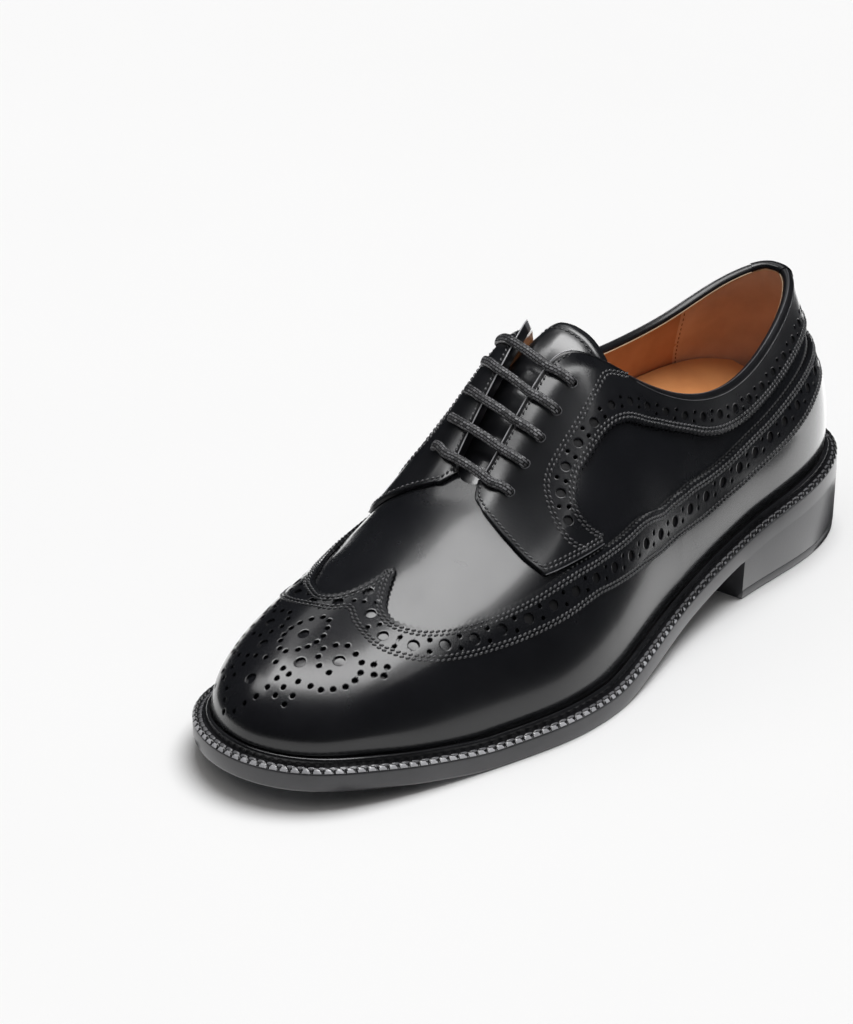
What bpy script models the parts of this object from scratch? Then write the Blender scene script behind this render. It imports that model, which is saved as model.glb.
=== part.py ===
import math

import bmesh
import bpy
import numpy as np
from mathutils import Vector

MM = 0.001
SOLE_THICK = 6.7
WALL = 2.0
GAP = 0.3
OVERLAY_TOP = 1.6
FOOT_LIFT = 0.5
HEEL_BREAST = 214.0
TOP_PIECE = 5.5
LACE_RADIUS = 1.3
EYELET_RADIUS = 2.3

# Outsole outline, once round from the toe tip by the outer side: distance from the toe, offset to the outer side
OUTLINE = [
    (0, -4), (4, 14), (12, 25), (28, 35.5), (50, 44.5), (75, 52), (100, 57.5), (122, 57.5),
    (150, 52), (175, 46), (200, 42.5), (225, 41), (250, 40.5), (275, 35.5), (290, 26), (297, 15),
    (300, 0), (297, -15), (290, -26.5), (275, -36.5), (250, -39.5), (225, -39), (200, -38.5), (175, -39),
    (150, -41.5), (125, -47), (100, -52), (75, -54), (50, -52), (28, -45.5), (12, -34), (4, -21.5),
]
# Underside of the sole: distance from the toe, height
TREAD = [
    (0, 8), (20, 6.2), (45, 2.6), (70, 0), (120, 0), (150, 4), (180, 9), (210, 14.5), (230, 17.8),
    (260, 20.8), (300, 24),
]
# Margin between the outsole edge and the foot of the upper: distance from the toe, width
MARGIN = [(0, 7.6), (60, 7.6), (130, 7.4), (180, 6.6), (300, 6.6)]
# Ribs of the last, one row each: station of the foot on the outline, point of the opening (x, d, z),
# then how far the wall leans out and rises from its foot, and reaches out and drops from its top
RIB_COLUMNS = ("foot_d", "top_x", "top_d", "top_z", "lean", "rise", "reach", "drop")
TOE_RIB = (0, -0.8, 114.1, 71.2, 0, 27, 53, 26.5)
HEEL_RIB = (300, 0, 287, 94, 3.5, 30, 6, 26)
OUTER_RIBS = [
    (4, 1.5, 114.3, 71.2, 0, 27, 52, 27),
    (12, 2.4, 114.7, 71.3, 0, 27, 52, 28),
    (28, 3.4, 115.1, 71.6, 0, 30, 50, 27),
    (50, 4.4, 115.7, 72.1, 1, 34, 44, 24),
    (75, 5, 116.8, 73.1, 2, 37, 36, 18),
    (100, 5.3, 121, 77.2, 3, 40, 30, 12),
    (122, 5.7, 131, 87, 3, 43, 27, 7.5),
    (145, 6.3, 145, 100, 3, 46, 23, 6),
    (160, 9, 155.5, 106.3, 3, 46, 20, 8),
    (172, 16, 164, 102.6, 3, 42, 15, 14),
    (184, 23, 177, 92.5, 3, 36, 10, 20),
    (200, 28, 195, 82.5, 3, 30, 7, 22),
    (215, 28.5, 212, 78, 3.5, 28, 6, 20),
    (232, 26.5, 230, 77.5, 3.5, 28, 6, 20),
    (254, 22, 252, 82, 3.5, 30, 6, 22),
    (277, 15, 273, 89.5, 3.5, 30, 6, 24),
    (292, 7.5, 284, 93, 3.5, 30, 6, 26),
]
INNER_RIBS = [
    (4, -3.2, 114.3, 71.5, 0, 27, 52, 27),
    (12, -4.2, 114.7, 71.9, 0, 27, 50, 27),
    (28, -5.3, 115.1, 72.6, 0, 28, 46, 26),
    (50, -6.5, 115.7, 73.6, 0, 29, 38, 22.5),
    (75, -7.4, 116.8, 75, 1, 32, 30, 16.5),
    (100, -8, 121, 79.2, 2, 36, 25, 9.5),
    (122, -8.4, 131, 89, 2, 42, 22, 5),
    (145, -8.8, 145, 101.7, 2, 46, 20, 3.5),
    (160, -11, 155.5, 107.5, 2, 46, 20, 7),
    (172, -17, 164, 103.5, 3, 42, 15, 14),
    (184, -24, 177, 92.5, 3, 36, 10, 20),
    (200, -28.5, 195, 82, 3, 30, 7, 22),
    (215, -29, 212, 77, 3.5, 28, 6, 20),
    (232, -27.5, 230, 76.5, 3.5, 28, 6, 20),
    (254, -22.5, 252, 80.5, 3.5, 30, 6, 22),
    (277, -15, 273, 88.5, 3.5, 30, 6, 24),
    (292, -7.5, 284, 92.8, 3.5, 30, 6, 26),
]
# Top edge of the wing cap: way round the shoe, share of the rib
WING_EDGE = [
    (0.010, 0.748), (0.018, 0.718), (0.026, 0.672), (0.035, 0.628), (0.047, 0.597), (0.0625, 0.569),
    (0.081, 0.537), (0.100, 0.515), (0.1325, 0.490), (0.160, 0.473), (0.178, 0.462), (0.197, 0.438),
    (0.220, 0.394), (0.2535, 0.336), (0.279, 0.322), (0.301, 0.392), (0.315, 0.463), (0.340, 0.544),
    (0.372, 0.613), (0.403, 0.627), (0.437, 0.625), (0.470, 0.628), (0.500, 0.630), (0.530, 0.628),
    (0.566, 0.625), (0.599, 0.627), (0.630, 0.613), (0.662, 0.544), (0.687, 0.463), (0.700, 0.392),
    (0.722, 0.322), (0.747, 0.333), (0.777, 0.385), (0.804, 0.432), (0.822, 0.457), (0.840, 0.482),
    (0.867, 0.522), (0.900, 0.570), (0.920, 0.590), (0.934, 0.586), (0.952, 0.594), (0.967, 0.598),
    (0.980, 0.615), (0.990, 0.642), (0.998, 0.680),
]
# Side view of a facing with its collar band: distance from the toe, height
FACING_SIDE = [
    (114.5, 140), (114.5, 72.8), (110.5, 70.3), (107.8, 68.5), (105, 66), (103.1, 62.4), (102.8, 57.8), (105, 53.4),
    (110.7, 54.4), (133, 56), (133, 57.5), (129, 61.5), (127, 66.3), (127.8, 70), (130.5, 73.8), (134, 76.8),
    (138.5, 79), (143.5, 81.8), (149, 84.3), (154.5, 85.8), (160, 85.6), (170, 81.4), (181, 75.8), (191.5, 71),
    (200, 67), (210, 64.2), (222, 63.5), (236, 64.6), (249, 66.9), (262, 70.2), (273, 73.6), (310, 75.2),
    (310, 140),
]
# Footbed rim: distance from the toe, height on the outer side, height on the inner side
FOOTBED_RIM = [
    (0, 19, 19), (60, 14, 14), (110, 15, 16), (150, 23, 28), (190, 37, 46), (220, 45, 55), (250, 48, 58),
    (275, 49, 56), (300, 51, 51),
]
# Eyelets, from the lowest up: way round on the outer side, where the lace crosses the outer and the inner
# edge of the throat, way round on the inner side, share of the rib
EYELETS = [
    (0.180, 0.158, 0.838, 0.8095, 0.84),
    (0.199, 0.1975, 0.8025, 0.789, 0.845),
    (0.218, 0.2175, 0.781, 0.770, 0.84),
    (0.237, 0.237, 0.7605, 0.751, 0.835),
    (0.256, 0.2535, 0.743, 0.735, 0.84),
]
# Tongue rows up the throat: way round on the outer side, on the inner side
TONGUE_ROWS = [(0.172, 0.830), (0.190, 0.811), (0.210, 0.791), (0.230, 0.770), (0.250, 0.751)]


def ring_spline(knots, values, at, period):
    """Closed smooth curve through the values at the knots."""
    knots = np.asarray(knots, float)
    values = np.asarray(values, float)
    count = len(knots)
    step = np.diff(np.append(knots, knots[0] + period))
    matrix = np.zeros((count, count))
    right = np.zeros_like(values)
    for i in range(count):
        before = (i - 1) % count
        after = (i + 1) % count
        matrix[i, before] += step[before]
        matrix[i, i] += 2 * (step[before] + step[i])
        matrix[i, after] += step[i]
        right[i] = 6 * ((values[after] - values[i]) / step[i] - (values[i] - values[before]) / step[before])
    bend = np.linalg.solve(matrix, right)
    at = np.mod(np.asarray(at, float) - knots[0], period) + knots[0]
    i = np.clip(np.searchsorted(knots, at, side="right") - 1, 0, count - 1)
    k = (i + 1) % count
    h = step[i][..., None]
    a = (at - knots[i])[..., None]
    b = h - a
    low = values[i] / h - bend[i] * h / 6
    high = values[k] / h - bend[k] * h / 6
    return bend[i] * b**3 / (6 * h) + bend[k] * a**3 / (6 * h) + low * b + high * a


def plain_curve(table, at, column=1):
    """Curve through a table that never swings past its rows."""
    u = np.array([row[0] for row in table], float)
    v = np.array([row[column] for row in table], float)
    h = np.diff(u)
    rate = np.diff(v) / h
    slope = np.zeros(len(u))
    slope[0] = rate[0]
    slope[-1] = rate[-1]
    for i in range(1, len(u) - 1):
        if rate[i - 1] * rate[i] > 0:
            slope[i] = 2 * rate[i - 1] * rate[i] / (rate[i - 1] + rate[i])
    at = np.clip(at, u[0], u[-1])
    i = np.clip(np.searchsorted(u, at, side="right") - 1, 0, len(u) - 2)
    x = (at - u[i]) / h[i]
    first = (2 * x**3 - 3 * x**2 + 1) * v[i] + (x**3 - 2 * x**2 + x) * h[i] * slope[i]
    return first + (3 * x**2 - 2 * x**3) * v[i + 1] + (x**3 - x**2) * h[i] * slope[i + 1]


def tread(d):
    return plain_curve(TREAD, d)


def sole_top(d):
    return tread(d) + SOLE_THICK


# The outline by arc length
POINTS = np.array(OUTLINE, float)
CHORDS = np.linalg.norm(np.diff(np.vstack([POINTS, POINTS[:1]]), axis=0), axis=1)
KNOTS = np.append(0, np.cumsum(CHORDS))
FINE_U = np.linspace(0, KNOTS[-1], 4001)
FINE = ring_spline(KNOTS[:-1], POINTS, FINE_U, KNOTS[-1])
FINE_LENGTH = np.append(0, np.cumsum(np.linalg.norm(np.diff(FINE, axis=0), axis=1)))
ROUND = FINE_LENGTH / FINE_LENGTH[-1]
BACK = int(np.argmax(FINE[:, 0]))
CENTRE_X = (FINE[:, 1].max() + FINE[:, 1].min()) / 2
CENTRE_D = (FINE[:, 0].max() + FINE[:, 0].min()) / 2


def outline(s):
    """Point and outward direction of the outsole edge, each as (d, x)."""
    u = np.interp(np.mod(s, 1.0), ROUND, FINE_U)
    point = ring_spline(KNOTS[:-1], POINTS, u, KNOTS[-1])
    ahead = ring_spline(KNOTS[:-1], POINTS, u + 0.5, KNOTS[-1])
    behind = ring_spline(KNOTS[:-1], POINTS, u - 0.5, KNOTS[-1])
    along = ahead - behind
    along = along / np.linalg.norm(along, axis=-1, keepdims=True)
    return point, np.stack([-along[..., 1], along[..., 0]], -1)


def way_round(d, side):
    if side > 0:
        return float(np.interp(d, FINE[: BACK + 1, 0], ROUND[: BACK + 1]))
    return float(np.interp(d, FINE[BACK:, 0][::-1], ROUND[BACK:][::-1]))


def half_width(d, side, inset):
    """Edge of the sole at a station, drawn in by the inset."""
    edge, out = outline(np.linspace(0, 1, 1601))
    edge = edge - out * inset
    back = int(np.argmax(edge[:, 0]))
    front = int(np.argmin(edge[:, 0]))
    if side > 0:
        part = np.roll(edge[:-1], -front, axis=0)[: (back - front) % 1600 + 1]
    else:
        part = np.roll(edge[:-1], -back, axis=0)[: (front - back) % 1600 + 1][::-1]
    return np.interp(d, part[:, 0], part[:, 1])


RIBS = np.array(
    [(0.0,) + TOE_RIB[1:]]
    + [(way_round(r[0], 1),) + r[1:] for r in OUTER_RIBS]
    + [(ROUND[BACK],) + HEEL_RIB[1:]]
    + [(way_round(r[0], -1),) + r[1:] for r in reversed(INNER_RIBS)]
)


def last(s, t):
    """The outside of the upper's wall: s goes round the shoe, t goes up each rib."""
    s = np.asarray(s, float)
    t = np.asarray(t, float)[..., None]
    row = ring_spline(RIBS[:, 0], RIBS[:, 1:], s, 1.0)
    edge, out = outline(s)
    margin = np.interp(edge[..., 0], [m[0] for m in MARGIN], [m[1] for m in MARGIN])
    plan = edge - out * margin[..., None]
    foot = np.stack([plan[..., 1], plan[..., 0], sole_top(plan[..., 0]) + FOOT_LIFT], -1)
    side = np.stack([out[..., 1], out[..., 0], np.zeros_like(out[..., 0])], -1)
    top = row[..., :3]
    away = (foot - top) * (1, 1, 0) + 10 * side
    away = away / np.linalg.norm(away, axis=-1, keepdims=True)
    up = np.array([0.0, 0.0, 1.0])
    low = foot + side * row[..., 3:4] + up * row[..., 4:5]
    high = top + away * row[..., 5:6] - up * row[..., 6:7]
    u = 1 - t
    return u**3 * foot + 3 * u * u * t * low + 3 * u * t * t * high + t**3 * top


def facing_out(s, t):
    e = 1e-4
    t = np.asarray(t, float)
    round_way = last(s + e, t) - last(s - e, t)
    up_way = last(s, np.minimum(t + e, 1)) - last(s, np.maximum(t - e, 0))
    n = np.cross(round_way, up_way)
    return n / np.linalg.norm(n, axis=-1, keepdims=True)


def skin(s, t, offset):
    """The wall's outside, moved out by the offset."""
    s = np.asarray(s, float)
    t = np.asarray(t, float)
    return last(s, t) + facing_out(s, t) * offset


def share_at_height(s, z):
    """Share of the rib at which the wall reaches a height."""
    t = np.linspace(0, 1, 201)
    return float(np.interp(z, last(np.full(201, s), t)[:, 2], t))


def wing_edge(s):
    rows = [(a - 1, b) for a, b in WING_EDGE] + WING_EDGE + [(a + 1, b) for a, b in WING_EDGE]
    return plain_curve(rows, np.mod(s, 1.0))


STATIONS = np.concatenate([
    np.linspace(-0.09, 0.11, 25)[:-1],
    np.linspace(0.11, 0.43, 23)[:-1],
    np.linspace(0.43, 0.57, 15)[:-1],
    np.linspace(0.57, 0.91, 24)[:-1],
])
BELOW_EDGE = np.array([0, 0.12, 0.27, 0.46, 0.7, 1.0])
ABOVE_EDGE = np.array([0.2, 0.4, 0.6, 0.8, 1.0])


def rib_shares(s):
    edge = wing_edge(s)[..., None]
    return np.concatenate([edge * BELOW_EDGE, edge + (1 - edge) * ABOVE_EDGE], -1)


def place(points):
    """From (x, d, z) in millimetres to the shoe's frame in metres."""
    p = np.asarray(points, float)
    return np.stack([p[..., 0] - CENTRE_X, p[..., 1] - CENTRE_D, p[..., 2]], -1) * MM


# Scene and collections
for thing in list(bpy.data.objects):
    bpy.data.objects.remove(thing, do_unlink=True)
shoe = bpy.data.collections.new("brogue_derby")
cutters = bpy.data.collections.new("brogue_derby_cutters")
bpy.context.scene.collection.children.link(shoe)
bpy.context.scene.collection.children.link(cutters)


def material(name, colour, roughness):
    m = bpy.data.materials.new(name)
    m.use_nodes = True
    m.node_tree.nodes["Principled BSDF"].inputs["Base Color"].default_value = (*colour, 1)
    m.node_tree.nodes["Principled BSDF"].inputs["Roughness"].default_value = roughness
    return m


def solid(name, points, faces, colour, roughness, home=None):
    mesh = bpy.data.meshes.new(name)
    mesh.from_pydata([tuple(p) for p in place(points)], [], [tuple(f) for f in faces])
    b = bmesh.new()
    b.from_mesh(mesh)
    bmesh.ops.recalc_face_normals(b, faces=b.faces)
    bmesh.ops.triangulate(b, faces=b.faces)
    b.to_mesh(mesh)
    b.free()
    mesh.materials.append(material(name + "_mat", colour, roughness))
    thing = bpy.data.objects.new(name, mesh)
    (home or shoe).objects.link(thing)
    return thing


def ring_faces(sections, around, closed):
    """Quads of a tube: sections one after another, each a ring of points."""
    faces = []
    for i in range(sections if closed else sections - 1):
        k = (i + 1) % sections
        for j in range(around):
            n = (j + 1) % around
            faces.append((i * around + j, k * around + j, k * around + n, i * around + n))
    if not closed:
        faces.append(tuple(range(around)))
        faces.append(tuple(range((sections - 1) * around, sections * around)))
    return faces


def sheet(name, outer, inner, colour, roughness, closed):
    """A wall between two grids of points; closed when its first rib meets its last."""
    ribs = outer.shape[0]
    rows = outer.shape[1]
    loop = np.concatenate([outer, inner[:, ::-1]], axis=1)
    faces = []
    around = 2 * rows
    for i in range(ribs if closed else ribs - 1):
        k = (i + 1) % ribs
        for j in range(around):
            n = (j + 1) % around
            faces.append((i * around + j, k * around + j, k * around + n, i * around + n))
    if not closed:
        for i in (0, ribs - 1):
            for j in range(rows - 1):
                a = i * around + j
                b = i * around + around - 1 - j
                faces.append((a, a + 1, b - 1, b))
    return solid(name, loop.reshape(-1, 3), faces, colour, roughness)


def boolean(target, tool, operation):
    m = target.modifiers.new(operation.lower(), "BOOLEAN")
    m.operation = operation
    m.solver = "EXACT"
    m.object = tool
    tool.hide_render = True
    tool.display_type = "WIRE"


BLACK = (0.012, 0.012, 0.014)
SOLE_GREY = (0.05, 0.05, 0.055)
TAN = (0.55, 0.27, 0.10)

# Outsole, heel block and top piece: rows across the sole, ruled from edge to edge


def sole_rows(first, last_d, count, inset_top, inset_low, top, low):
    turn = np.linspace(0, math.pi, count)
    d = first + (last_d - first) * (1 - np.cos(turn)) / 2
    rows = []
    for at in d:
        points = []
        for side, inset, height in ((1, inset_top, top), (-1, inset_top, top), (-1, inset_low, low), (1, inset_low, low)):
            points.append((half_width(at, side, inset), at, height(at)))
        rows.append(points)
    return np.array(rows)


def end_to_end(name, rows, colour, roughness):
    count = len(rows)
    faces = ring_faces(count, 4, False)
    return solid(name, rows.reshape(-1, 3), faces, colour, roughness)


sole_front = FINE[:, 0].min() + 0.12
sole_back = FINE[:, 0].max() - 0.12
outsole = end_to_end("outsole", sole_rows(sole_front, sole_back, 56, 0, 0, sole_top, tread), SOLE_GREY, 0.45)


def heel_top(d):
    return tread(d) - GAP


def heel_low(d):
    return TOP_PIECE + GAP


def flat_top(d):
    return TOP_PIECE


def floor_level(d):
    return 0.0


def heel_rows(first, inset_top, inset_low, top, low):
    """Like the sole's rows, but square at the breast."""
    back_top = sole_back - inset_top - 0.3
    back_low = sole_back - inset_low - 0.3
    share = np.sin(np.linspace(0, math.pi / 2, 20))
    rows = []
    for part in share:
        points = []
        for side, inset, end, height in (
            (1, inset_top, back_top, top), (-1, inset_top, back_top, top),
            (-1, inset_low, back_low, low), (1, inset_low, back_low, low),
        ):
            at = first + (end - first) * part
            points.append((half_width(at, side, inset), at, height(at)))
        rows.append(points)
    return np.array(rows)


end_to_end("heel_block", heel_rows(HEEL_BREAST, 0.3, 1.0, heel_top, heel_low), SOLE_GREY, 0.4)
end_to_end("heel_top_piece", heel_rows(HEEL_BREAST + 0.4, 1.0, 1.4, flat_top, floor_level), (0.03, 0.03, 0.032), 0.6)

# Upper: one hollow wall, open at collar, throat and underneath
shares = rib_shares(STATIONS)
grid_s = np.repeat(STATIONS[:, None], shares.shape[1], axis=1)
upper = sheet("upper", skin(grid_s, shares, 0), skin(grid_s, shares, -WALL), BLACK, 0.3, True)

# Wing cap: the foot of the same ribs, up to its edge and round the heel
rows = len(BELOW_EDGE)
wing_shares = shares[:, :rows]
wing_s = grid_s[:, :rows]
sheet("wing_cap", skin(wing_s, wing_shares, OVERLAY_TOP), skin(wing_s, wing_shares, GAP), BLACK, 0.28, True)

# Facings with their collar bands: a larger sheet of the same ribs, cut by its side view
facings = []
for name, low_s, high_s in (("facing_outer", 0.086, 0.4875), ("facing_inner", 0.513, 0.916)):
    wrapped = np.mod(STATIONS, 1.0)
    keep = np.sort(wrapped[(wrapped > low_s + 0.003) & (wrapped < high_s - 0.003)])
    part_s = np.concatenate([[low_s], keep, [high_s]])
    part_t = rib_shares(part_s)[:, rows - 1:]
    part_grid = np.repeat(part_s[:, None], part_t.shape[1], axis=1)
    piece = sheet(name, skin(part_grid, part_t, OVERLAY_TOP), skin(part_grid, part_t, GAP), BLACK, 0.3, False)
    reach = (-8, 90) if name == "facing_outer" else (-90, 6)
    view = np.array([[(x, d, z) for d, z in FACING_SIDE] for x in reach])
    count = len(FACING_SIDE)
    sides = [(j, (j + 1) % count, count + (j + 1) % count, count + j) for j in range(count)]
    caps = [tuple(range(count)), tuple(range(count, 2 * count))]
    tool = solid(name + "_view", view.reshape(-1, 3), sides + caps, BLACK, 0.5, cutters)
    boolean(piece, tool, "INTERSECT")
    facings.append(piece)

# Backstay: a strip folded over the topline between the two collar bands
STRIP = [
    (17, 1.9), (8, 1.9), (0, 1.9), (-1.2, 1.5), (-1.2, -2.9), (0, -3.3), (7, -3.3), (7, -2.3), (-0.3, -2.3),
    (-0.3, 0.3), (8, 0.3), (17, 0.3),
]
strip_rows = []
for s in np.linspace(0.4895, 0.511, 7):
    length = np.linalg.norm(last(s, 1.0) - last(s, 0.99)) / 0.01
    up_way = last(s, 1.0) - last(s, 0.98)
    up_way = up_way / np.linalg.norm(up_way)
    ring = []
    for below, offset in STRIP:
        point = skin(s, min(1.0, 1 - below / length), offset)
        if below < 0:
            point = point - up_way * below
        ring.append(point)
    strip_rows.append(ring)
strip_rows = np.array(strip_rows)
solid("backstay", strip_rows.reshape(-1, 3), ring_faces(len(strip_rows), len(STRIP), False), BLACK, 0.3)

# Welt: flange on the sole with an upright lip along the wing cap
edge, out = outline(STATIONS)
welt_rows = []
for i, s in enumerate(STATIONS):
    base = float(sole_top(edge[i, 0]))
    low = skin(s, 0.0, OVERLAY_TOP + GAP)
    high = skin(s, share_at_height(s, base + 4.6), OVERLAY_TOP + GAP)
    foot = edge[i] - out[i] * 0.4
    toward = np.array([out[i, 1], out[i, 0]])
    ring = [
        (foot[1], foot[0], sole_top(foot[0]) + GAP),
        (foot[1], foot[0], sole_top(foot[0]) + 2.4),
        (high[0] + toward[0] * 1.5, high[1] + toward[1] * 1.5, base + 2.4),
        (high[0] + toward[0] * 1.1, high[1] + toward[1] * 1.1, base + 4.6),
        (high[0], high[1], base + 4.6),
        (low[0], low[1], sole_top(low[1]) + GAP),
    ]
    welt_rows.append(ring)
solid("welt", np.array(welt_rows).reshape(-1, 3), ring_faces(len(STATIONS), 6, True), BLACK, 0.4)

# Footbed: from the sole to its rim along the inside of the wall, dished across
FOOTBED_IN = -(WALL + 0.7)
pairs = []
for d in (13, 20, 32, 50, 75, 100, 122, 145, 165, 184, 200, 215, 232, 245, 258, 268, 277, 285, 291.5):
    pairs.append((way_round(d, 1), way_round(d, -1), d))
bed_rows = []
for outer_s, inner_s, d in pairs:
    ring = []
    for s, column in ((outer_s, 1), (inner_s, 2)):
        rim = share_at_height(s, float(plain_curve(FOOTBED_RIM, d, column)))
        wall = [skin(s, rim * part, FOOTBED_IN) for part in (0.04, 0.35, 0.7, 1.0)]
        wall[0][2] = sole_top(wall[0][1]) + GAP
        ring.append(wall)
    outer_wall, inner_wall = ring
    across = inner_wall[3] - outer_wall[3]
    dish = min(3.0, np.linalg.norm(across) * 0.05)
    middle = []
    for part in (0.25, 0.5, 0.75):
        middle.append(outer_wall[3] + across * part - np.array([0, 0, dish * (1 - (2 * part - 1) ** 2)]))
    bed_rows.append(outer_wall + middle + inner_wall[::-1])
bed_rows = np.array(bed_rows)
solid("insole", bed_rows.reshape(-1, 3), ring_faces(len(bed_rows), bed_rows.shape[1], False), TAN, 0.5)

# Tongue: caught under the throat, lying below the facings and rising past their top
FRONT_S = (0.150, 0.132, 0.112, 0.085, 0.045, 0.005, 0.965, 0.925, 0.895, 0.875, 0.855)
ACROSS = (0.74, 0.80, 0.86, 0.92, 1.0)
front = np.array([skin(s, 0.93, -WALL - GAP - 0.1) for s in FRONT_S])
tongue_rows = [front]
for outer_s, inner_s in TONGUE_ROWS:
    outer_half = [skin(outer_s, t, -6.0) for t in ACROSS]
    inner_half = [skin(inner_s, t, -6.0) for t in ACROSS]
    crown = (outer_half[-1] + inner_half[-1]) / 2 + np.array([0, 0, 1.0])
    tongue_rows.append(np.array(outer_half + [crown] + inner_half[::-1]))
tip = tongue_rows[-1] - tongue_rows[-2]
middle_step = tip[5] / np.linalg.norm(tip[5])
# Past the facings the tongue narrows and bends back: reach beyond the last row, lean, rise, share of the width kept
for reach, lean, rise, kept in ((8, 0.2, -0.3, 0.94), (16, 0.3, -2.0, 0.85), (22.5, 0.5, -4.5, 0.77), (28.5, 0.6, -8.5, 0.75)):
    row = tongue_rows[5] + middle_step * reach
    row = row + np.array([lean, 0, rise])
    middle = row[5].copy()
    tongue_rows.append(middle + (row - middle) * kept)
tongue_grid = np.array(tongue_rows)


def grid_normals(grid):
    along = np.gradient(grid, axis=0)
    across = np.gradient(grid, axis=1)
    n = np.cross(across, along)
    n = n / np.linalg.norm(n, axis=-1, keepdims=True)
    return np.where(n[..., 2:3] < 0, -n, n)


tongue_low = tongue_grid - grid_normals(tongue_grid) * 1.6
sheet("tongue", tongue_grid, tongue_low, BLACK, 0.35, False)

# Eyelet holes through wall and facings
for i, (outer_s, _, _, inner_s, t) in enumerate(EYELETS):
    for s, piece in ((outer_s, facings[0]), (inner_s, facings[1])):
        centre = skin(s, t, 0)
        axis = facing_out(s, t)
        side = np.cross(axis, (0.0, 1.0, 0.0))
        side = side / np.linalg.norm(side)
        other = np.cross(axis, side)
        rings = []
        for height in (-5.0, 5.0):
            ring = []
            for k in range(10):
                a = 2 * math.pi * k / 10
                ring.append(centre + axis * height + (side * math.cos(a) + other * math.sin(a)) * EYELET_RADIUS)
            rings.append(ring)
        name = "eyelet_" + str(i) + ("_outer" if piece is facings[0] else "_inner")
        tool = solid(name, np.array(rings).reshape(-1, 3), ring_faces(2, 10, False), BLACK, 0.5, cutters)
        boolean(upper, tool, "DIFFERENCE")
        boolean(piece, tool, "DIFFERENCE")

# Lace: one length, five bars over the throat, running on under the facings from bar to bar
OVER = OVERLAY_TOP + GAP + LACE_RADIUS + 0.1
UNDER = -(WALL + GAP + LACE_RADIUS + 0.2)


def bar(outer_s, outer_edge, inner_edge, inner_s, t):
    points = []
    for s, edge_s in ((outer_s, outer_edge), (inner_s, inner_edge)):
        half = [skin(s, t, UNDER), skin(s, t, (OVER + UNDER) / 2), skin(s, t + 0.005, OVER - 0.2)]
        half += [skin(s + (edge_s - s) * part, t + (1 - t) * part, OVER + 0.15) for part in (0.3, 0.65, 1.0)]
        points.append(half)
    outer_half, inner_half = points
    crown = (outer_half[-1] + inner_half[-1]) / 2 + np.array([0, 0, 0.5])
    return outer_half + [crown] + inner_half[::-1]


path = []
for i, eyelet in enumerate(EYELETS):
    run = bar(*eyelet)
    path += run if i % 2 == 0 else run[::-1]
path = np.array(path)
ways = np.gradient(path, axis=0)
ways = ways / np.linalg.norm(ways, axis=1, keepdims=True)
lace_rows = []
lift = np.cross(ways[0], (0.0, 1.0, 0.0))
for point, way in zip(path, ways):
    lift = lift - way * np.dot(lift, way)
    lift = lift / np.linalg.norm(lift)
    beside = np.cross(way, lift)
    ring = []
    for k in range(8):
        a = 2 * math.pi * k / 8
        ring.append(point + (lift * math.cos(a) + beside * math.sin(a)) * LACE_RADIUS)
    lace_rows.append(ring)
solid("lace", np.array(lace_rows).reshape(-1, 3), ring_faces(len(lace_rows), 8, False), (0.02, 0.02, 0.022), 0.6)
for thing in cutters.objects:
    thing.hide_render = True
    thing.display_type = "WIRE"
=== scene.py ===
import math

import bpy
import numpy as np
from mathutils import Matrix, Vector, geometry, kdtree


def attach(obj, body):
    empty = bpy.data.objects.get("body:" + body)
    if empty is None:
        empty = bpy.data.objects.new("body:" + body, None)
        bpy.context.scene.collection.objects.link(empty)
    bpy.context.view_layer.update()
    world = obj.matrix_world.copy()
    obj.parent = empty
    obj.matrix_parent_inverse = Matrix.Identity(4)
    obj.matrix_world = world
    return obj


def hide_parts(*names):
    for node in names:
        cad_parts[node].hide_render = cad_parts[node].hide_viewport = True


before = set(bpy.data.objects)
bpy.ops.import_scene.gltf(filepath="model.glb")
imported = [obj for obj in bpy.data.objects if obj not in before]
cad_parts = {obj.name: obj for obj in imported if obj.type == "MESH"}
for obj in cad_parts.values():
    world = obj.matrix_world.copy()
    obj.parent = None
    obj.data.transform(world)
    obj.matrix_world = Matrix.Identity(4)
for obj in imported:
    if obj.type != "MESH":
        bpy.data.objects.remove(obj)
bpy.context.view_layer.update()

# Sizes in millimetres, as the solids have them
MM = 0.001
SOLE_THICK = 6.7
WALL = 2.0
GAP = 0.3
OVERLAY_TOP = 1.6
FOOT_LIFT = 0.5
HEEL_BREAST = 214.0
TOP_PIECE = 3.5
RIB_FLAT = 90.0

# Outsole outline, once round from the toe tip by the outer side:
# distance from the toe, offset to the outer side
OUTLINE = [
    (0, -4), (4, 14), (12, 25), (28, 35.5), (50, 44.5), (75, 52), (100, 57.5), (122, 57.5),
    (150, 52), (175, 46), (200, 42.5), (225, 41), (250, 40.5), (275, 35.5), (290, 26), (297, 15),
    (300, 0), (297, -15), (290, -26.5), (275, -36.5), (250, -39.5), (225, -39), (200, -38.5), (175, -39),
    (150, -41.5), (125, -47), (100, -52), (75, -54), (50, -52), (28, -45.5), (12, -34), (4, -21.5),
]
# Underside of the sole: distance from the toe, height
TREAD = [
    (0, 8), (20, 6.2), (45, 2.6), (70, 0), (120, 0), (150, 4), (180, 9), (210, 14.5), (230, 17.8),
    (260, 20.8), (300, 24),
]
# Margin between the outsole edge and the foot of the upper: distance from the toe, width
MARGIN = [(0, 7.6), (60, 7.6), (130, 7.4), (180, 6.6), (300, 6.6)]
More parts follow.
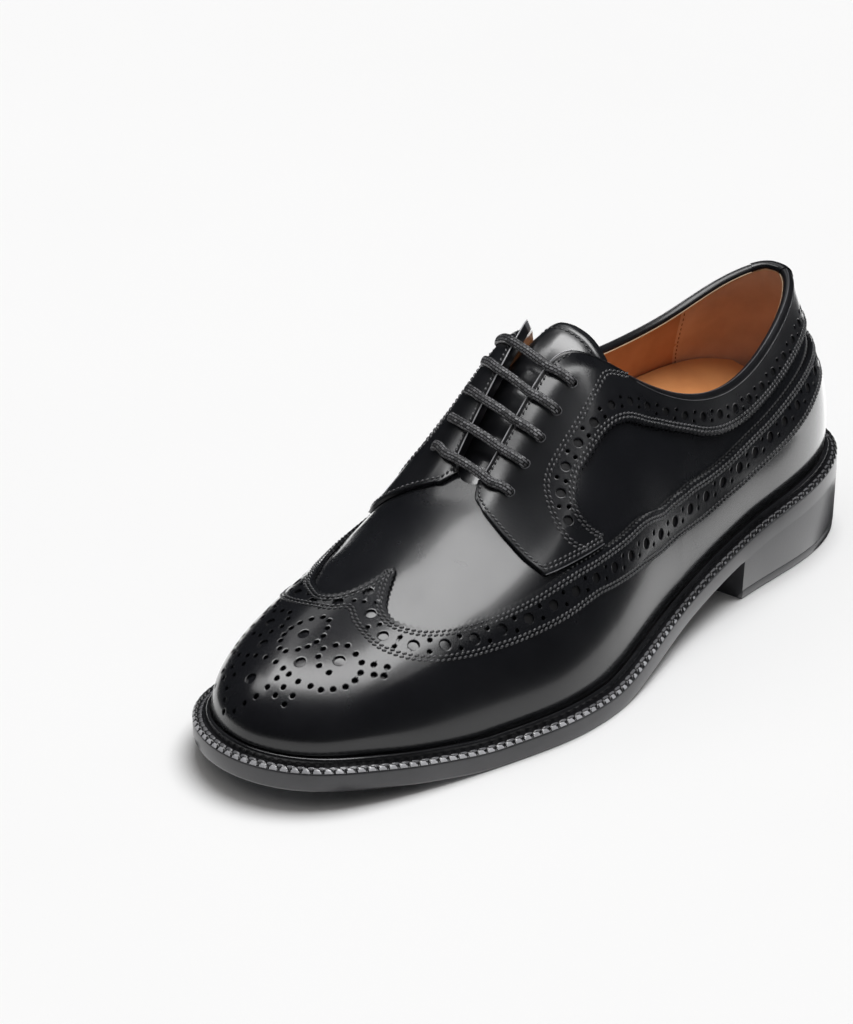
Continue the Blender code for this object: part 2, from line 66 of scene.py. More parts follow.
# Ribs of the last, one row each: station of the foot on the outline, point of the opening (x, d, z),
# then how far the wall leans out and rises from its foot, and reaches out and drops from its top
TOE_RIB = (0, -0.8, 114.1, 71.2, 0, 27, 53, 26.5)
HEEL_RIB = (300, 0, 287, 94, 3.5, 30, 6, 26)
OUTER_RIBS = [
    (4, 1.5, 114.3, 71.2, 0, 27, 52, 27),
    (12, 2.4, 114.7, 71.3, 0, 27, 52, 28),
    (28, 3.4, 115.1, 71.6, 0, 30, 50, 27),
    (50, 4.4, 115.7, 72.1, 1, 34, 44, 24),
    (75, 5, 116.8, 73.1, 2, 37, 36, 18),
    (100, 5.3, 121, 77.2, 3, 40, 30, 12),
    (122, 5.7, 131, 87, 3, 43, 27, 7.5),
    (145, 6.3, 145, 100, 3, 46, 23, 6),
    (160, 9, 155.5, 106.3, 3, 46, 20, 8),
    (172, 16, 164, 102.6, 3, 42, 15, 14),
    (184, 23, 177, 92.5, 3, 36, 10, 20),
    (200, 28, 195, 82.5, 3, 30, 7, 22),
    (215, 28.5, 212, 78, 3.5, 28, 6, 20),
    (232, 26.5, 230, 77.5, 3.5, 28, 6, 20),
    (254, 22, 252, 82, 3.5, 30, 6, 22),
    (277, 15, 273, 89.5, 3.5, 30, 6, 24),
    (292, 7.5, 284, 93, 3.5, 30, 6, 26),
]
INNER_RIBS = [
    (4, -3.2, 114.3, 71.5, 0, 27, 52, 27),
    (12, -4.2, 114.7, 71.9, 0, 27, 50, 27),
    (28, -5.3, 115.1, 72.6, 0, 28, 46, 26),
    (50, -6.5, 115.7, 73.6, 0, 29, 38, 22.5),
    (75, -7.4, 116.8, 75, 1, 32, 30, 16.5),
    (100, -8, 121, 79.2, 2, 36, 25, 9.5),
    (122, -8.4, 131, 89, 2, 42, 22, 5),
    (145, -8.8, 145, 101.7, 2, 46, 20, 3.5),
    (160, -11, 155.5, 107.5, 2, 46, 20, 7),
    (172, -17, 164, 103.5, 3, 42, 15, 14),
    (184, -24, 177, 92.5, 3, 36, 10, 20),
    (200, -28.5, 195, 82, 3, 30, 7, 22),
    (215, -29, 212, 77, 3.5, 28, 6, 20),
    (232, -27.5, 230, 76.5, 3.5, 28, 6, 20),
    (254, -22.5, 252, 80.5, 3.5, 30, 6, 22),
    (277, -15, 273, 88.5, 3.5, 30, 6, 24),
    (292, -7.5, 284, 92.8, 3.5, 30, 6, 26),
]
# Top edge of the wing cap: way round the shoe, share of the rib
WING_EDGE = [
    (0.010, 0.748), (0.018, 0.718), (0.026, 0.672), (0.035, 0.628), (0.047, 0.597), (0.0625, 0.569),
    (0.081, 0.537), (0.100, 0.515), (0.1325, 0.490), (0.160, 0.473), (0.178, 0.462), (0.197, 0.438),
    (0.220, 0.394), (0.2535, 0.336), (0.279, 0.322), (0.301, 0.392), (0.315, 0.463), (0.340, 0.544),
    (0.372, 0.613), (0.403, 0.627), (0.437, 0.625), (0.470, 0.628), (0.500, 0.630), (0.530, 0.628),
    (0.566, 0.625), (0.599, 0.627), (0.630, 0.613), (0.662, 0.544), (0.687, 0.463), (0.700, 0.392),
    (0.722, 0.322), (0.747, 0.333), (0.777, 0.385), (0.804, 0.432), (0.822, 0.457), (0.840, 0.482),
    (0.867, 0.522), (0.900, 0.570), (0.920, 0.590), (0.934, 0.586), (0.952, 0.594), (0.967, 0.598),
    (0.980, 0.615), (0.990, 0.642), (0.998, 0.680),
]
# Lower double row of stitches on the wing: inner side of the toe, then the outer side to the heel
WING_LOW_TOE = [
    (-0.125, 0.380), (-0.100, 0.420), (-0.080, 0.465), (-0.059, 0.506), (-0.043, 0.536), (-0.027, 0.561),
    (-0.008, 0.582), (0.005, 0.603),
]
WING_LOW = [
    (0.020, 0.565), (0.037, 0.527), (0.058, 0.477), (0.078, 0.427), (0.096, 0.389), (0.114, 0.368),
    (0.133, 0.351), (0.151, 0.335), (0.169, 0.326), (0.189, 0.314), (0.213, 0.297), (0.227, 0.268),
    (0.250, 0.226), (0.276, 0.201), (0.299, 0.230), (0.318, 0.259), (0.338, 0.293), (0.353, 0.301),
    (0.378, 0.326), (0.396, 0.339), (0.413, 0.364), (0.430, 0.400), (0.450, 0.430), (0.475, 0.445),
    (0.5, 0.448),
]
# Facing on the outer side, in way round and share of the rib: front edge, foot of the tab,
# window and collar band
FRONT_EDGE = [
    (0.084, 1.0), (0.086, 0.967), (0.112, 0.929), (0.140, 0.849), (0.156, 0.741), (0.168, 0.611),
    (0.179, 0.498),
]
TAB_FOOT = [(0.179, 0.498), (0.190, 0.473), (0.208, 0.435), (0.226, 0.398)]
WINDOW_STITCH = [
    (0.226, 0.418), (0.218, 0.485), (0.214, 0.556), (0.215, 0.607), (0.220, 0.644), (0.226, 0.661),
    (0.234, 0.657), (0.244, 0.653), (0.2525, 0.653), (0.2625, 0.649), (0.2725, 0.653), (0.290, 0.699),
    (0.307, 0.782), (0.321, 0.808), (0.332, 0.790), (0.345, 0.768), (0.360, 0.763), (0.378, 0.768),
    (0.398, 0.770), (0.417, 0.770), (0.435, 0.768), (0.456, 0.755), (0.4885, 0.745),
]
EYESTAY_STITCH = [
    (0.297, 0.985), (0.285, 0.908), (0.267, 0.785), (0.253, 0.752), (0.2425, 0.749), (0.232, 0.753),
    (0.220, 0.757), (0.212, 0.755), (0.205, 0.732), (0.2015, 0.686), (0.1995, 0.623), (0.2005, 0.556),
    (0.204, 0.500), (0.212, 0.440),
]
COLLAR_HOLES = [
    (0.207, 0.573), (0.2085, 0.625), (0.2125, 0.680), (0.223, 0.703), (0.240, 0.703), (0.257, 0.690),
    (0.276, 0.715), (0.2975, 0.816), (0.3125, 0.868), (0.327, 0.874), (0.341, 0.866), (0.356, 0.848),
    (0.372, 0.841), (0.385, 0.838), (0.399, 0.838), (0.416, 0.832), (0.431, 0.832), (0.460, 0.826),
    (0.484, 0.822),
]
# Eyelets, from the lowest up: way round and share of the rib on the outer side, where the lace crosses the
# outer and the inner edge of the throat, way round and share on the inner side, bend of the lace
EYELETS = [
    (0.180, 0.857, 0.150, 0.8415, 0.8095, 0.84, 1.65),
    (0.202, 0.862, 0.196, 0.802, 0.789, 0.845, 1.0),
    (0.220, 0.858, 0.217, 0.7805, 0.770, 0.84, 1.0),
    (0.238, 0.852, 0.236, 0.760, 0.751, 0.835, 1.0),
    (0.2555, 0.861, 0.2535, 0.742, 0.735, 0.84, 1.0),
]
EYELET_RADIUS = 1.6
# Tongue rows up the throat: way round on the outer side, on the inner side
TONGUE_ROWS = [(0.172, 0.830), (0.190, 0.811), (0.210, 0.791), (0.230, 0.770), (0.250, 0.751)]
# Footbed rim: distance from the toe, height on the outer side, height on the inner side
FOOTBED_RIM = [
    (0, 19, 19), (60, 14, 14), (110, 15, 16), (150, 23, 28), (190, 37, 46), (220, 45, 55), (250, 48, 58),
    (275, 49, 56), (300, 51, 51),
]
# Medallion on the toe, half of it: distance along its axis towards the heel, distance from the axis
MEDALLION_AT = (-6.8, 38.6)
MEDALLION_TILT = 17.7
MEDALLION_LEAN = 0.15
MEDALLION_LARGE = [(0, 0), (0, 17.5), (-8.5, 9.5), (-20, 0)]
MEDALLION_SMALL = [
    (8.5, 1.5), (6, 4), (3, 6), (0, 6.5), (-3, 6), (-5.5, 4.5), (-8, 1.5),
    (3, 12), (-0.5, 10.5), (-3.5, 12), (-5.5, 15), (-5, 19),
    (5.5, 14.5), (5.5, 18.5), (5, 22), (2.5, 24.5), (-0.5, 25.5), (-4, 25.5), (-7.5, 24), (-10.5, 22),
    (-12, 19), (-13.5, 15), (-13.5, 10.5), (-13, 7), (-12.5, 2.5),
    (10.5, 27), (8, 28.5), (7.5, 24.5), (5.5, 27),
    (-16.5, 8.5), (-20, 8.5), (-23.5, 7.5), (-26, 5), (-28, 2.5),
    (-17.5, 13), (-20.5, 13), (-17.5, 17.5), (-20.5, 17.5),
]


def ring_spline(knots, values, period):
    """Closed smooth curve through the values at the knots, as a function."""
    knots = np.asarray(knots, float)
    values = np.asarray(values, float)
    count = len(knots)
    step = np.diff(np.append(knots, knots[0] + period))
    matrix = np.zeros((count, count))
    right = np.zeros_like(values)
    for i in range(count):
        before = (i - 1) % count
        after = (i + 1) % count
        matrix[i, before] += step[before]
        matrix[i, i] += 2 * (step[before] + step[i])
        matrix[i, after] += step[i]
        right[i] = 6 * ((values[after] - values[i]) / step[i] - (values[i] - values[before]) / step[before])
    bend = np.linalg.solve(matrix, right)

    def at(u):
        u = np.mod(np.asarray(u, float) - knots[0], period) + knots[0]
        i = np.clip(np.searchsorted(knots, u, side="right") - 1, 0, count - 1)
        k = (i + 1) % count
        h = step[i][..., None]
        a = (u - knots[i])[..., None]
        b = h - a
        low = values[i] / h - bend[i] * h / 6
        high = values[k] / h - bend[k] * h / 6
        return bend[i] * b**3 / (6 * h) + bend[k] * a**3 / (6 * h) + low * b + high * a

    return at


def plain_curve(table, at, column=1):
    """Curve through a table that never swings past its rows."""
    rows = np.asarray(table, float)
    u = rows[:, 0]
    v = rows[:, column]
    h = np.diff(u)
    rate = np.diff(v) / h
    slope = np.zeros(len(u))
    slope[0] = rate[0]
    slope[-1] = rate[-1]
    for i in range(1, len(u) - 1):
        if rate[i - 1] * rate[i] > 0:
            slope[i] = 2 * rate[i - 1] * rate[i] / (rate[i - 1] + rate[i])
    at = np.clip(at, u[0], u[-1])
    i = np.clip(np.searchsorted(u, at, side="right") - 1, 0, len(u) - 2)
    x = (at - u[i]) / h[i]
    first = (2 * x**3 - 3 * x**2 + 1) * v[i] + (x**3 - 2 * x**2 + x) * h[i] * slope[i]
    return first + (3 * x**2 - 2 * x**3) * v[i + 1] + (x**3 - x**2) * h[i] * slope[i + 1]


def tread(d):
    return plain_curve(TREAD, d)


def sole_top(d):
    return tread(d) + SOLE_THICK


def unit(v):
    return v / np.linalg.norm(v, axis=-1, keepdims=True)


def run_along(points):
    """Length along points, from the first one."""
    return np.append(0, np.cumsum(np.linalg.norm(np.diff(points, axis=0), axis=1)))


def read_along(values, run, at):
    """Rows of values along a path, read at given lengths."""
    return np.stack([np.interp(at, run, column) for column in values.T], -1)


def circle(count):
    """Angles once round."""
    return np.linspace(0, 2 * math.pi, count, endpoint=False)


# The outline by arc length
POINTS = np.array(OUTLINE, float)
KNOTS = run_along(np.vstack([POINTS, POINTS[:1]]))
OUTLINE_AT = ring_spline(KNOTS[:-1], POINTS, KNOTS[-1])
FINE_U = np.linspace(0, KNOTS[-1], 4001)
FINE = OUTLINE_AT(FINE_U)
FINE_LENGTH = run_along(FINE)
AROUND = FINE_LENGTH[-1]
FLAT = np.array([AROUND, RIB_FLAT])
ROUND = FINE_LENGTH / AROUND
BACK = int(np.argmax(FINE[:, 0]))
CENTRE_X = (FINE[:, 1].max() + FINE[:, 1].min()) / 2
CENTRE_D = (FINE[:, 0].max() + FINE[:, 0].min()) / 2


def outline(s):
    """Point and outward direction of the outsole edge, each as (d, x)."""
    u = np.interp(np.mod(s, 1.0), ROUND, FINE_U)
    along = unit(OUTLINE_AT(u + 0.5) - OUTLINE_AT(u - 0.5))
    return OUTLINE_AT(u), np.stack([-along[..., 1], along[..., 0]], -1)


def way_round(d, side):
    if side > 0:
        return np.interp(d, FINE[: BACK + 1, 0], ROUND[: BACK + 1])
    return np.interp(d, FINE[BACK:, 0][::-1], ROUND[BACK:][::-1])


def other_side(path):
    """The same path on the inner side of the shoe: its foot is at the same distance from the toe."""
    path = np.asarray(path, float)
    d = np.interp(path[:, 0], ROUND, FINE[:, 0])
    return np.stack([way_round(d, -1), path[:, 1]], -1)


RIBS = np.array(
    [(0.0,) + TOE_RIB[1:]]
    + [(way_round(r[0], 1),) + r[1:] for r in OUTER_RIBS]
    + [(ROUND[BACK],) + HEEL_RIB[1:]]
    + [(way_round(r[0], -1),) + r[1:] for r in reversed(INNER_RIBS)]
)
RIB_AT = ring_spline(RIBS[:, 0], RIBS[:, 1:], 1.0)


def last(s, t):
    """The outside of the upper's wall: s goes round the shoe, t goes up each rib."""
    s = np.asarray(s, float)
    t = np.asarray(t, float)[..., None]
    row = RIB_AT(s)
    edge, out = outline(s)
    margin = np.interp(edge[..., 0], *np.transpose(MARGIN))
    plan = edge - out * margin[..., None]
    foot = np.stack([plan[..., 1], plan[..., 0], sole_top(plan[..., 0]) + FOOT_LIFT], -1)
    side = np.stack([out[..., 1], out[..., 0], np.zeros_like(out[..., 0])], -1)
    top = row[..., :3]
    away = unit((foot - top) * (1, 1, 0) + 10 * side)
    up = np.array([0.0, 0.0, 1.0])
    low = foot + side * row[..., 3:4] + up * row[..., 4:5]
    high = top + away * row[..., 5:6] - up * row[..., 6:7]
    u = 1 - t
    return u**3 * foot + 3 * u * u * t * low + 3 * u * t * t * high + t**3 * top


def slopes(s, t):
    """How the wall moves, in millimetres, for a whole turn of s and for a whole rib of t."""
    e = 1e-4
    s = np.asarray(s, float)
    t = np.asarray(t, float)
    high = np.minimum(t + e, 1)
    low = np.maximum(t - e, 0)
    round_way = (last(s + e, t) - last(s - e, t)) / (2 * e)
    return round_way, (last(s, high) - last(s, low)) / (high - low)[..., None]


def facing_out(s, t):
    round_way, up_way = slopes(s, t)
    return unit(np.cross(round_way, up_way))


def skin(s, t, offset):
    """The wall's outside, moved out by the offset."""
    s = np.asarray(s, float)
    t = np.asarray(t, float)
    return last(s, t) + facing_out(s, t) * np.asarray(offset, float)[..., None]


def share_at_height(s, z):
    """Share of the rib at which the wall reaches a height."""
    t = np.linspace(0, 1, 201)
    return float(np.interp(z, last(s, t)[:, 2], t))


def place(points):
    """From (x, d, z) in millimetres to the shoe's frame in metres."""
    p = np.asarray(points, float)
    return np.stack([p[..., 0] - CENTRE_X, p[..., 1] - CENTRE_D, p[..., 2]], -1) * MM


# Paths on the wall, each an array of (s, t)


def between(u, k, m, p, q):
    """Straight from p at k to q at m."""
    return (m - u) / (m - k) * p + (u - k) / (m - k) * q


def smooth(table, count):
    """Rounded path through the rows of a table."""
    p = np.asarray(table, float) * FLAT
    ends = np.vstack([2 * p[0] - p[1], p, 2 * p[-1] - p[-2]])
    knot = np.append(0, np.cumsum(np.maximum(np.linalg.norm(np.diff(ends, axis=0), axis=1), 1e-6) ** 0.5))
    path = []
    for i in range(1, len(ends) - 2):
        k0, k1, k2, k3 = knot[i - 1: i + 3]
        u = np.linspace(k1, k2, count, endpoint=False)[:, None]
        p0, p1, p2, p3 = ends[i - 1: i + 3]
        middle = between(u, k1, k2, p1, p2)
        first = between(u, k0, k2, between(u, k0, k1, p0, p1), middle)
        second = between(u, k1, k3, middle, between(u, k2, k3, p2, p3))
        path.append(between(u, k1, k2, first, second))
    path.append(p[-1:])
    return np.vstack(path) / FLAT


def lengths(path):
    return run_along(last(*path.T))


def spaced(path, pitch, start=0.0, stop=None):
    """Points along a path, evenly apart in millimetres."""
    run = lengths(path)
    stop = run[-1] if stop is None else stop
    count = max(2, int(round((stop - start) / pitch)) + 1)
    at = np.linspace(start, stop, count)
    return read_along(path, run, at)


def step_aside(points, way, by):
    """Moves points of the wall along a direction in space, by millimetres."""
    done = points.copy()
    parts = max(1, int(np.ceil(np.max(np.abs(by)) / 1.5)))
    for _ in range(parts):
        a, b = slopes(*done.T)
        move = way * (np.asarray(by, float) / parts).reshape(-1, 1)
        aa = (a * a).sum(-1)
        ab = (a * b).sum(-1)
        bb = (b * b).sum(-1)
        am = (a * move).sum(-1)
        bm = (b * move).sum(-1)
        det = aa * bb - ab * ab
        done[:, 0] += (am * bb - bm * ab) / det
        done[:, 1] += (bm * aa - am * ab) / det
    return done


def leftward(path):
    """Unit vectors that point to the left of a path, along the wall, seen from outside."""
    along = unit(np.gradient(last(*path.T), axis=0))
    return unit(np.cross(facing_out(*path.T), along))


def beside(path, by):
    """The path moved to its left by millimetres."""
    even = spaced(path, 1.0)
    return step_aside(even, leftward(even), by)


def gimped(path, pitch=2.2, depth=0.75):
    """A saw-toothed edge along a path; its teeth point to the left."""
    even = spaced(path, pitch / 4)
    wave = np.array([0.0, 0.55, 1.0, 0.55])
    by = depth * (np.resize(wave, len(even)) - 0.5)
    return step_aside(even, leftward(even), by)


def disc(centre, radius, count):
    """A ring of points round a centre on the wall."""
    first = unit(slopes(*centre)[0])
    second = unit(np.cross(facing_out(*centre), first))
    turn = circle(count)[:, None]
    way = first * np.cos(turn) + second * np.sin(turn)
    return step_aside(np.repeat(np.array([centre]), count, axis=0), way, radius)


def from_above(x, d, guess):
    """Point of the wall at a place in plan, by Newton steps."""
    point = np.array(guess, float)
    for _ in range(30):
        a, b = slopes(*point)
        move = np.linalg.solve(np.stack([a[:2], b[:2]], -1), np.array([x, d]) - last(*point)[:2])
        point = point + np.clip(move, -0.05, 0.05)
        point[1] = np.clip(point[1], 0.02, 0.98)
    return point


# Materials


def material(name, colour, roughness, **sockets):
    m = bpy.data.materials.new(name)
    m.use_nodes = True
    shader = m.node_tree.nodes["Principled BSDF"]
    shader.inputs["Base Color"].default_value = (*colour, 1)
    shader.inputs["Roughness"].default_value = roughness
    for socket, value in sockets.items():
        shader.inputs[socket.replace("_", " ")].default_value = value
    return m, m.node_tree, shader


def add(tree, kind, **values):
    node = tree.nodes.new(kind)
    for key, value in values.items():
        if key in node.inputs:
            node.inputs[key].default_value = value
        else:
            setattr(node, key, value)
    return node


def noise(tree, scale, detail=3.0, rough=0.55):
    place_node = tree.nodes.get("Texture Coordinate") or add(tree, "ShaderNodeTexCoord")
    n = add(tree, "ShaderNodeTexNoise", Scale=scale, Detail=detail, Roughness=rough)
    tree.links.new(place_node.outputs["Object"], n.inputs["Vector"])
    return n


def spread(tree, source, low, high, start=0.3, stop=0.7):
    """Maps a noise or a place to a range of values."""
    ramp = add(tree, "ShaderNodeMapRange")
    for socket, value in zip(("From Min", "From Max", "To Min", "To Max"), (start, stop, low, high)):
        ramp.inputs[socket].default_value = value
    tree.links.new(source, ramp.inputs["Value"])
    return ramp.outputs["Result"]


def two_tones(tree, shader, source, first, second):
    ramp = add(tree, "ShaderNodeValToRGB")
    for stop, position, tone in zip(ramp.color_ramp.elements, (0.35, 0.65), (first, second)):
        stop.position = position
        stop.color = (*tone, 1)
    tree.links.new(source, ramp.inputs["Fac"])
    tree.links.new(ramp.outputs["Color"], shader.inputs["Base Color"])


def bumped(tree, shader, source, strength, depth):
    bump = add(tree, "ShaderNodeBump", Strength=strength, Distance=depth)
    tree.links.new(source, bump.inputs["Height"])
    tree.links.new(bump.outputs["Normal"], shader.inputs["Normal"])
    return bump


def leather(name, dark, light, roughness, coat, grain=1400.0, bump=0.10, index=1.5):
    """Smooth leather: two close tones, a fine grain and a gloss that varies a little."""
    gloss = roughness * 0.55
    m, tree, shader = material(name, dark, roughness, Coat_Weight=coat, Coat_Roughness=gloss, IOR=index)
    cloud = noise(tree, 60.0, 4.0).outputs["Fac"]
    two_tones(tree, shader, cloud, dark, light)
    tree.links.new(spread(tree, cloud, roughness * 0.9, roughness * 1.12), shader.inputs["Roughness"])
    bumped(tree, shader, noise(tree, grain, 2.0).outputs["Fac"], bump, 0.0002)
    return m


# Each with its two tones, roughness and gloss coat, then the scale and depth of the grain
FACING_TONES = (0.0080, 0.0083, 0.0100), (0.0108, 0.0112, 0.0132)
BLACK_CALF = leather("polished_black_calf", (0.0078, 0.0081, 0.0098), (0.0100, 0.0104, 0.0124), 0.25, 0.5)
FACING_CALF = leather("facing_black_calf", *FACING_TONES, 0.29, 0.4, 1100.0, 0.16)
TONGUE_CALF = leather("tongue_black_calf", *FACING_TONES, 0.3, 0.9, 1100.0, 0.16, 1.65)
BINDING = leather("folded_edge_calf", (0.007, 0.007, 0.008), (0.012, 0.012, 0.014), 0.3, 0.3, 1500.0, 0.12)
# The black thread's grey base colour is a painted sheen
THREAD_WITH_SHEEN = leather("black_thread_painted_sheen", (0.042, 0.042, 0.045), (0.078, 0.078, 0.083), 0.3, 0.8, 5000.0, 0.5)
WELT_BLACK = leather("black_welt", (0.008, 0.008, 0.009), (0.016, 0.016, 0.018), 0.24, 0.6, 2600.0, 0.2)
SOLE_EDGE = leather("inked_sole_edge", (0.056, 0.056, 0.060),
                    (0.076, 0.076, 0.081), 0.36, 0.25, 900.0, 0.12)
HEEL_EDGE = leather("inked_heel_edge", (0.046, 0.046, 0.050),
                    (0.062, 0.062, 0.066), 0.38, 0.08, 900.0, 0.12)
TOP_RUBBER = leather("top_piece_rubber", (0.040, 0.040, 0.043),
                     (0.056, 0.056, 0.060), 0.45, 0.1, 2200.0, 0.3)
LINING = leather("tan_lining", (0.55, 0.260, 0.134), (0.66, 0.330, 0.182), 0.5, 0.1, 2600.0, 0.25)
HEEL_LINING = leather("sueded_heel_lining", (0.70, 0.450, 0.320),
                      (0.83, 0.560, 0.410), 0.75, 0.0, 3200.0, 0.5)
FOOTBED = leather("tan_footbed", (0.64, 0.275, 0.100), (0.74, 0.340, 0.125), 0.42, 0.1, 2200.0, 0.2)
# Light greys on the black welt: painted highlights on the tops of its beads, and a dimmer one by the heel
# and on its thread
HEAD_HIGHLIGHT = leather("welt_painted_highlight", (0.34, 0.34, 0.355), (0.50, 0.50, 0.52), 0.24, 0.7, 2600.0, 0.2)
DIM_HEAD_HIGHLIGHT = leather("welt_dim_painted_highlight", (0.11, 0.11, 0.117), (0.19, 0.19, 0.2), 0.3, 0.5, 2600.0, 0.2)
# Light greys on the black leather: painted highlights along cut and folded edges, round the eyelets and on
# the curled corner
EDGE_HIGHLIGHT = leather("painted_edge_highlight", (0.42, 0.42, 0.44), (0.60, 0.60, 0.62), 0.34, 0.5, 3000.0, 0.2)
FOLD_HIGHLIGHT = leather("painted_fold_highlight", (0.075, 0.075, 0.081), (0.14, 0.14, 0.15), 0.34, 0.5, 3000.0, 0.2)
PUNCHED = leather("leather_under_holes", (0.006, 0.006, 0.007),
                  (0.010, 0.010, 0.011), 0.62, 0.0, 1800.0, 0.2)
TAN_THREAD = leather("tan_lining_thread", (0.24, 0.105, 0.05), (0.34, 0.155, 0.08), 0.6, 0.0, 5000.0, 0.4)
RAW_EDGE = leather("raw_lining_edge", (0.62, 0.46, 0.30), (0.74, 0.58, 0.40), 0.7, 0.0, 4000.0, 0.4)


def braided(name):
    """Black waxed cotton braid: short strands in staggered rows, from the lace's own lengthwise map;
    lighter strands are a painted sheen.
    """
    m, tree, shader = material(name, (0.012, 0.012, 0.013), 0.42, Coat_Weight=0.15, Coat_Roughness=0.3)
    uv = add(tree, "ShaderNodeUVMap", uv_map="along")
    brick = add(tree, "ShaderNodeTexBrick", offset=0.5, Scale=1.0)
    for socket, value in (
        ("Brick Width", 1.6), ("Row Height", 0.864), ("Mortar Size", 0.2), ("Mortar Smooth", 0.5),
        ("Color1", (0.040, 0.040, 0.043, 1)), ("Color2", (0.25, 0.25, 0.262, 1)),
        ("Mortar", (0.009, 0.009, 0.010, 1)),
    ):
        brick.inputs[socket].default_value = value
    tree.links.new(uv.outputs["UV"], brick.inputs["Vector"])
    tree.links.new(brick.outputs["Color"], shader.inputs["Base Color"])
    bump = bumped(tree, shader, brick.outputs["Fac"], 1.0, 0.0009)
    bump.invert = True
    return m


LACE = braided("black_braid_painted_sheen")

# Meshes


def piece(name, points, faces, materials, stands_for=(), normals=None, sharp=40.0, pick=None):
    """A mesh of the shoe from points in millimetres, riding on the part's one body."""
    mesh = bpy.data.meshes.new(name)
    mesh.from_pydata(place(np.reshape(points, (-1, 3))).tolist(), [], [list(map(int, f)) for f in faces])
    for m in materials:
        mesh.materials.append(m)
    if pick is not None:
        mesh.polygons.foreach_set("material_index", np.asarray(pick, np.int32))
    mesh.shade_smooth()
    if normals is None:
        mesh.set_sharp_from_angle(angle=math.radians(sharp))
    else:
        mesh.normals_split_custom_set_from_vertices(np.asarray(normals, float).tolist())
    mesh.update()
    thing = bpy.data.objects.new(name, mesh)
    bpy.context.scene.collection.objects.link(thing)
    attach(thing, "root")
    if stands_for:
        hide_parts(*stands_for)
    return thing


def distinct(path):
    """Marks the points that don't repeat the one before, so that a rim is one clean ring."""
    flat = path * FLAT
    return np.linalg.norm(flat - np.roll(flat, 1, axis=0), axis=1) > 0.02


def tree_of(spots):
    """Search tree of points in space."""
    tree = kdtree.KDTree(len(spots))
    for i, spot in enumerate(spots):
        tree.insert(Vector(spot), i)
    tree.balance()
    return tree


# Round a hole: lean of the edge's shading, width of the band of faces, least room to any other point
HOLE_TILT = 0.3
HOLE_BAND = 0.42
HOLE_ROOM = 0.12
HOLES_NEAR = 3.0


def panel(name, rim, holes, low, high, step, look, stands_for=(), more=(),
          edge_drop=0.12, rim_tilt=0.05, shade=None, inside=None):
    """A leather panel on the wall: rim and punched holes in (s, t), with thickness from low to high."""
    keep = distinct(rim)
    rim_tilt = np.broadcast_to(rim_tilt, len(rim))[keep]
    rim = rim[keep]
    loops = [rim]
    extra = [np.asarray(m, float) for m in more]
    for s, t, radius, count in holes:
        loops.append(disc((s, t), radius, count))
        extra.append(disc((s, t), radius + HOLE_BAND, count))
    hedge = tree_of(last(*np.vstack(loops + extra).T))
    lowest = (rim * FLAT).min(0)
    highest = (rim * FLAT).max(0)
    inner = []
    for i, height in enumerate(np.arange(lowest[1] + step / 2, highest[1], step * 0.866)):
        u = np.arange(lowest[0] + step * (0.5 if i % 2 else 1.0), highest[0], step)
        inner.append(np.stack([u, np.full(len(u), height)], -1))
    inner = np.vstack(inner) / FLAT
    room = np.array([hedge.find(Vector(p))[2] for p in last(*inner.T)])
    inner = inner[room > 0.5 * step]
    if holes:
        middles = tree_of([last(*hole[:2]) for hole in holes])

        def clear(p):
            near = middles.find_range(Vector(p), HOLES_NEAR)
            return all(away > holes[i][2] + HOLE_ROOM for _, i, away in near)

        extra = [np.array([q for q in ring if clear(last(*q))]).reshape(-1, 2) for ring in extra]
        inner = inner[np.array([clear(p) for p in last(*inner.T)])]
    points = np.vstack(loops + extra + [inner])
    edges = []
    owner = np.full(len(points), -1)
    first = 0
    for number, loop in enumerate(loops):
        count = len(loop)
        edges += [(first + j, first + (j + 1) % count) for j in range(count)]
        owner[first: first + count] = number
        first += count
    flat = points * FLAT
    result = geometry.delaunay_2d_cdt([Vector(p) for p in flat], edges, [], 1, 1e-6)
    origin = np.array([o[0] if o else -1 for o in result[3]])
    triangles = origin[np.array([f for f in result[2] if len(f) == 3])]
    triangles = triangles[(triangles >= 0).all(1)]
    owners = owner[triangles]
    in_hole = (owners[:, 0] == owners[:, 1]) & (owners[:, 1] == owners[:, 2]) & (owners[:, 0] > 0)
    triangles = triangles[~in_hole]
    a, b, c = (flat[triangles[:, k]] for k in range(3))
    turn = (b[:, 0] - a[:, 0]) * (c[:, 1] - a[:, 1]) - (b[:, 1] - a[:, 1]) * (c[:, 0] - a[:, 0])
    triangles = np.where(turn[:, None] < 0, triangles[:, ::-1], triangles)
    triangles = triangles[np.abs(turn) > 1e-9]
    edge_tilt = np.full(len(points), HOLE_TILT)
    edge_tilt[: len(rim)] = rim_tilt
    looks = [look, inside or look]
    return thicken(name, points, triangles, low, high, looks, stands_for, edge_drop, edge_tilt, shade)


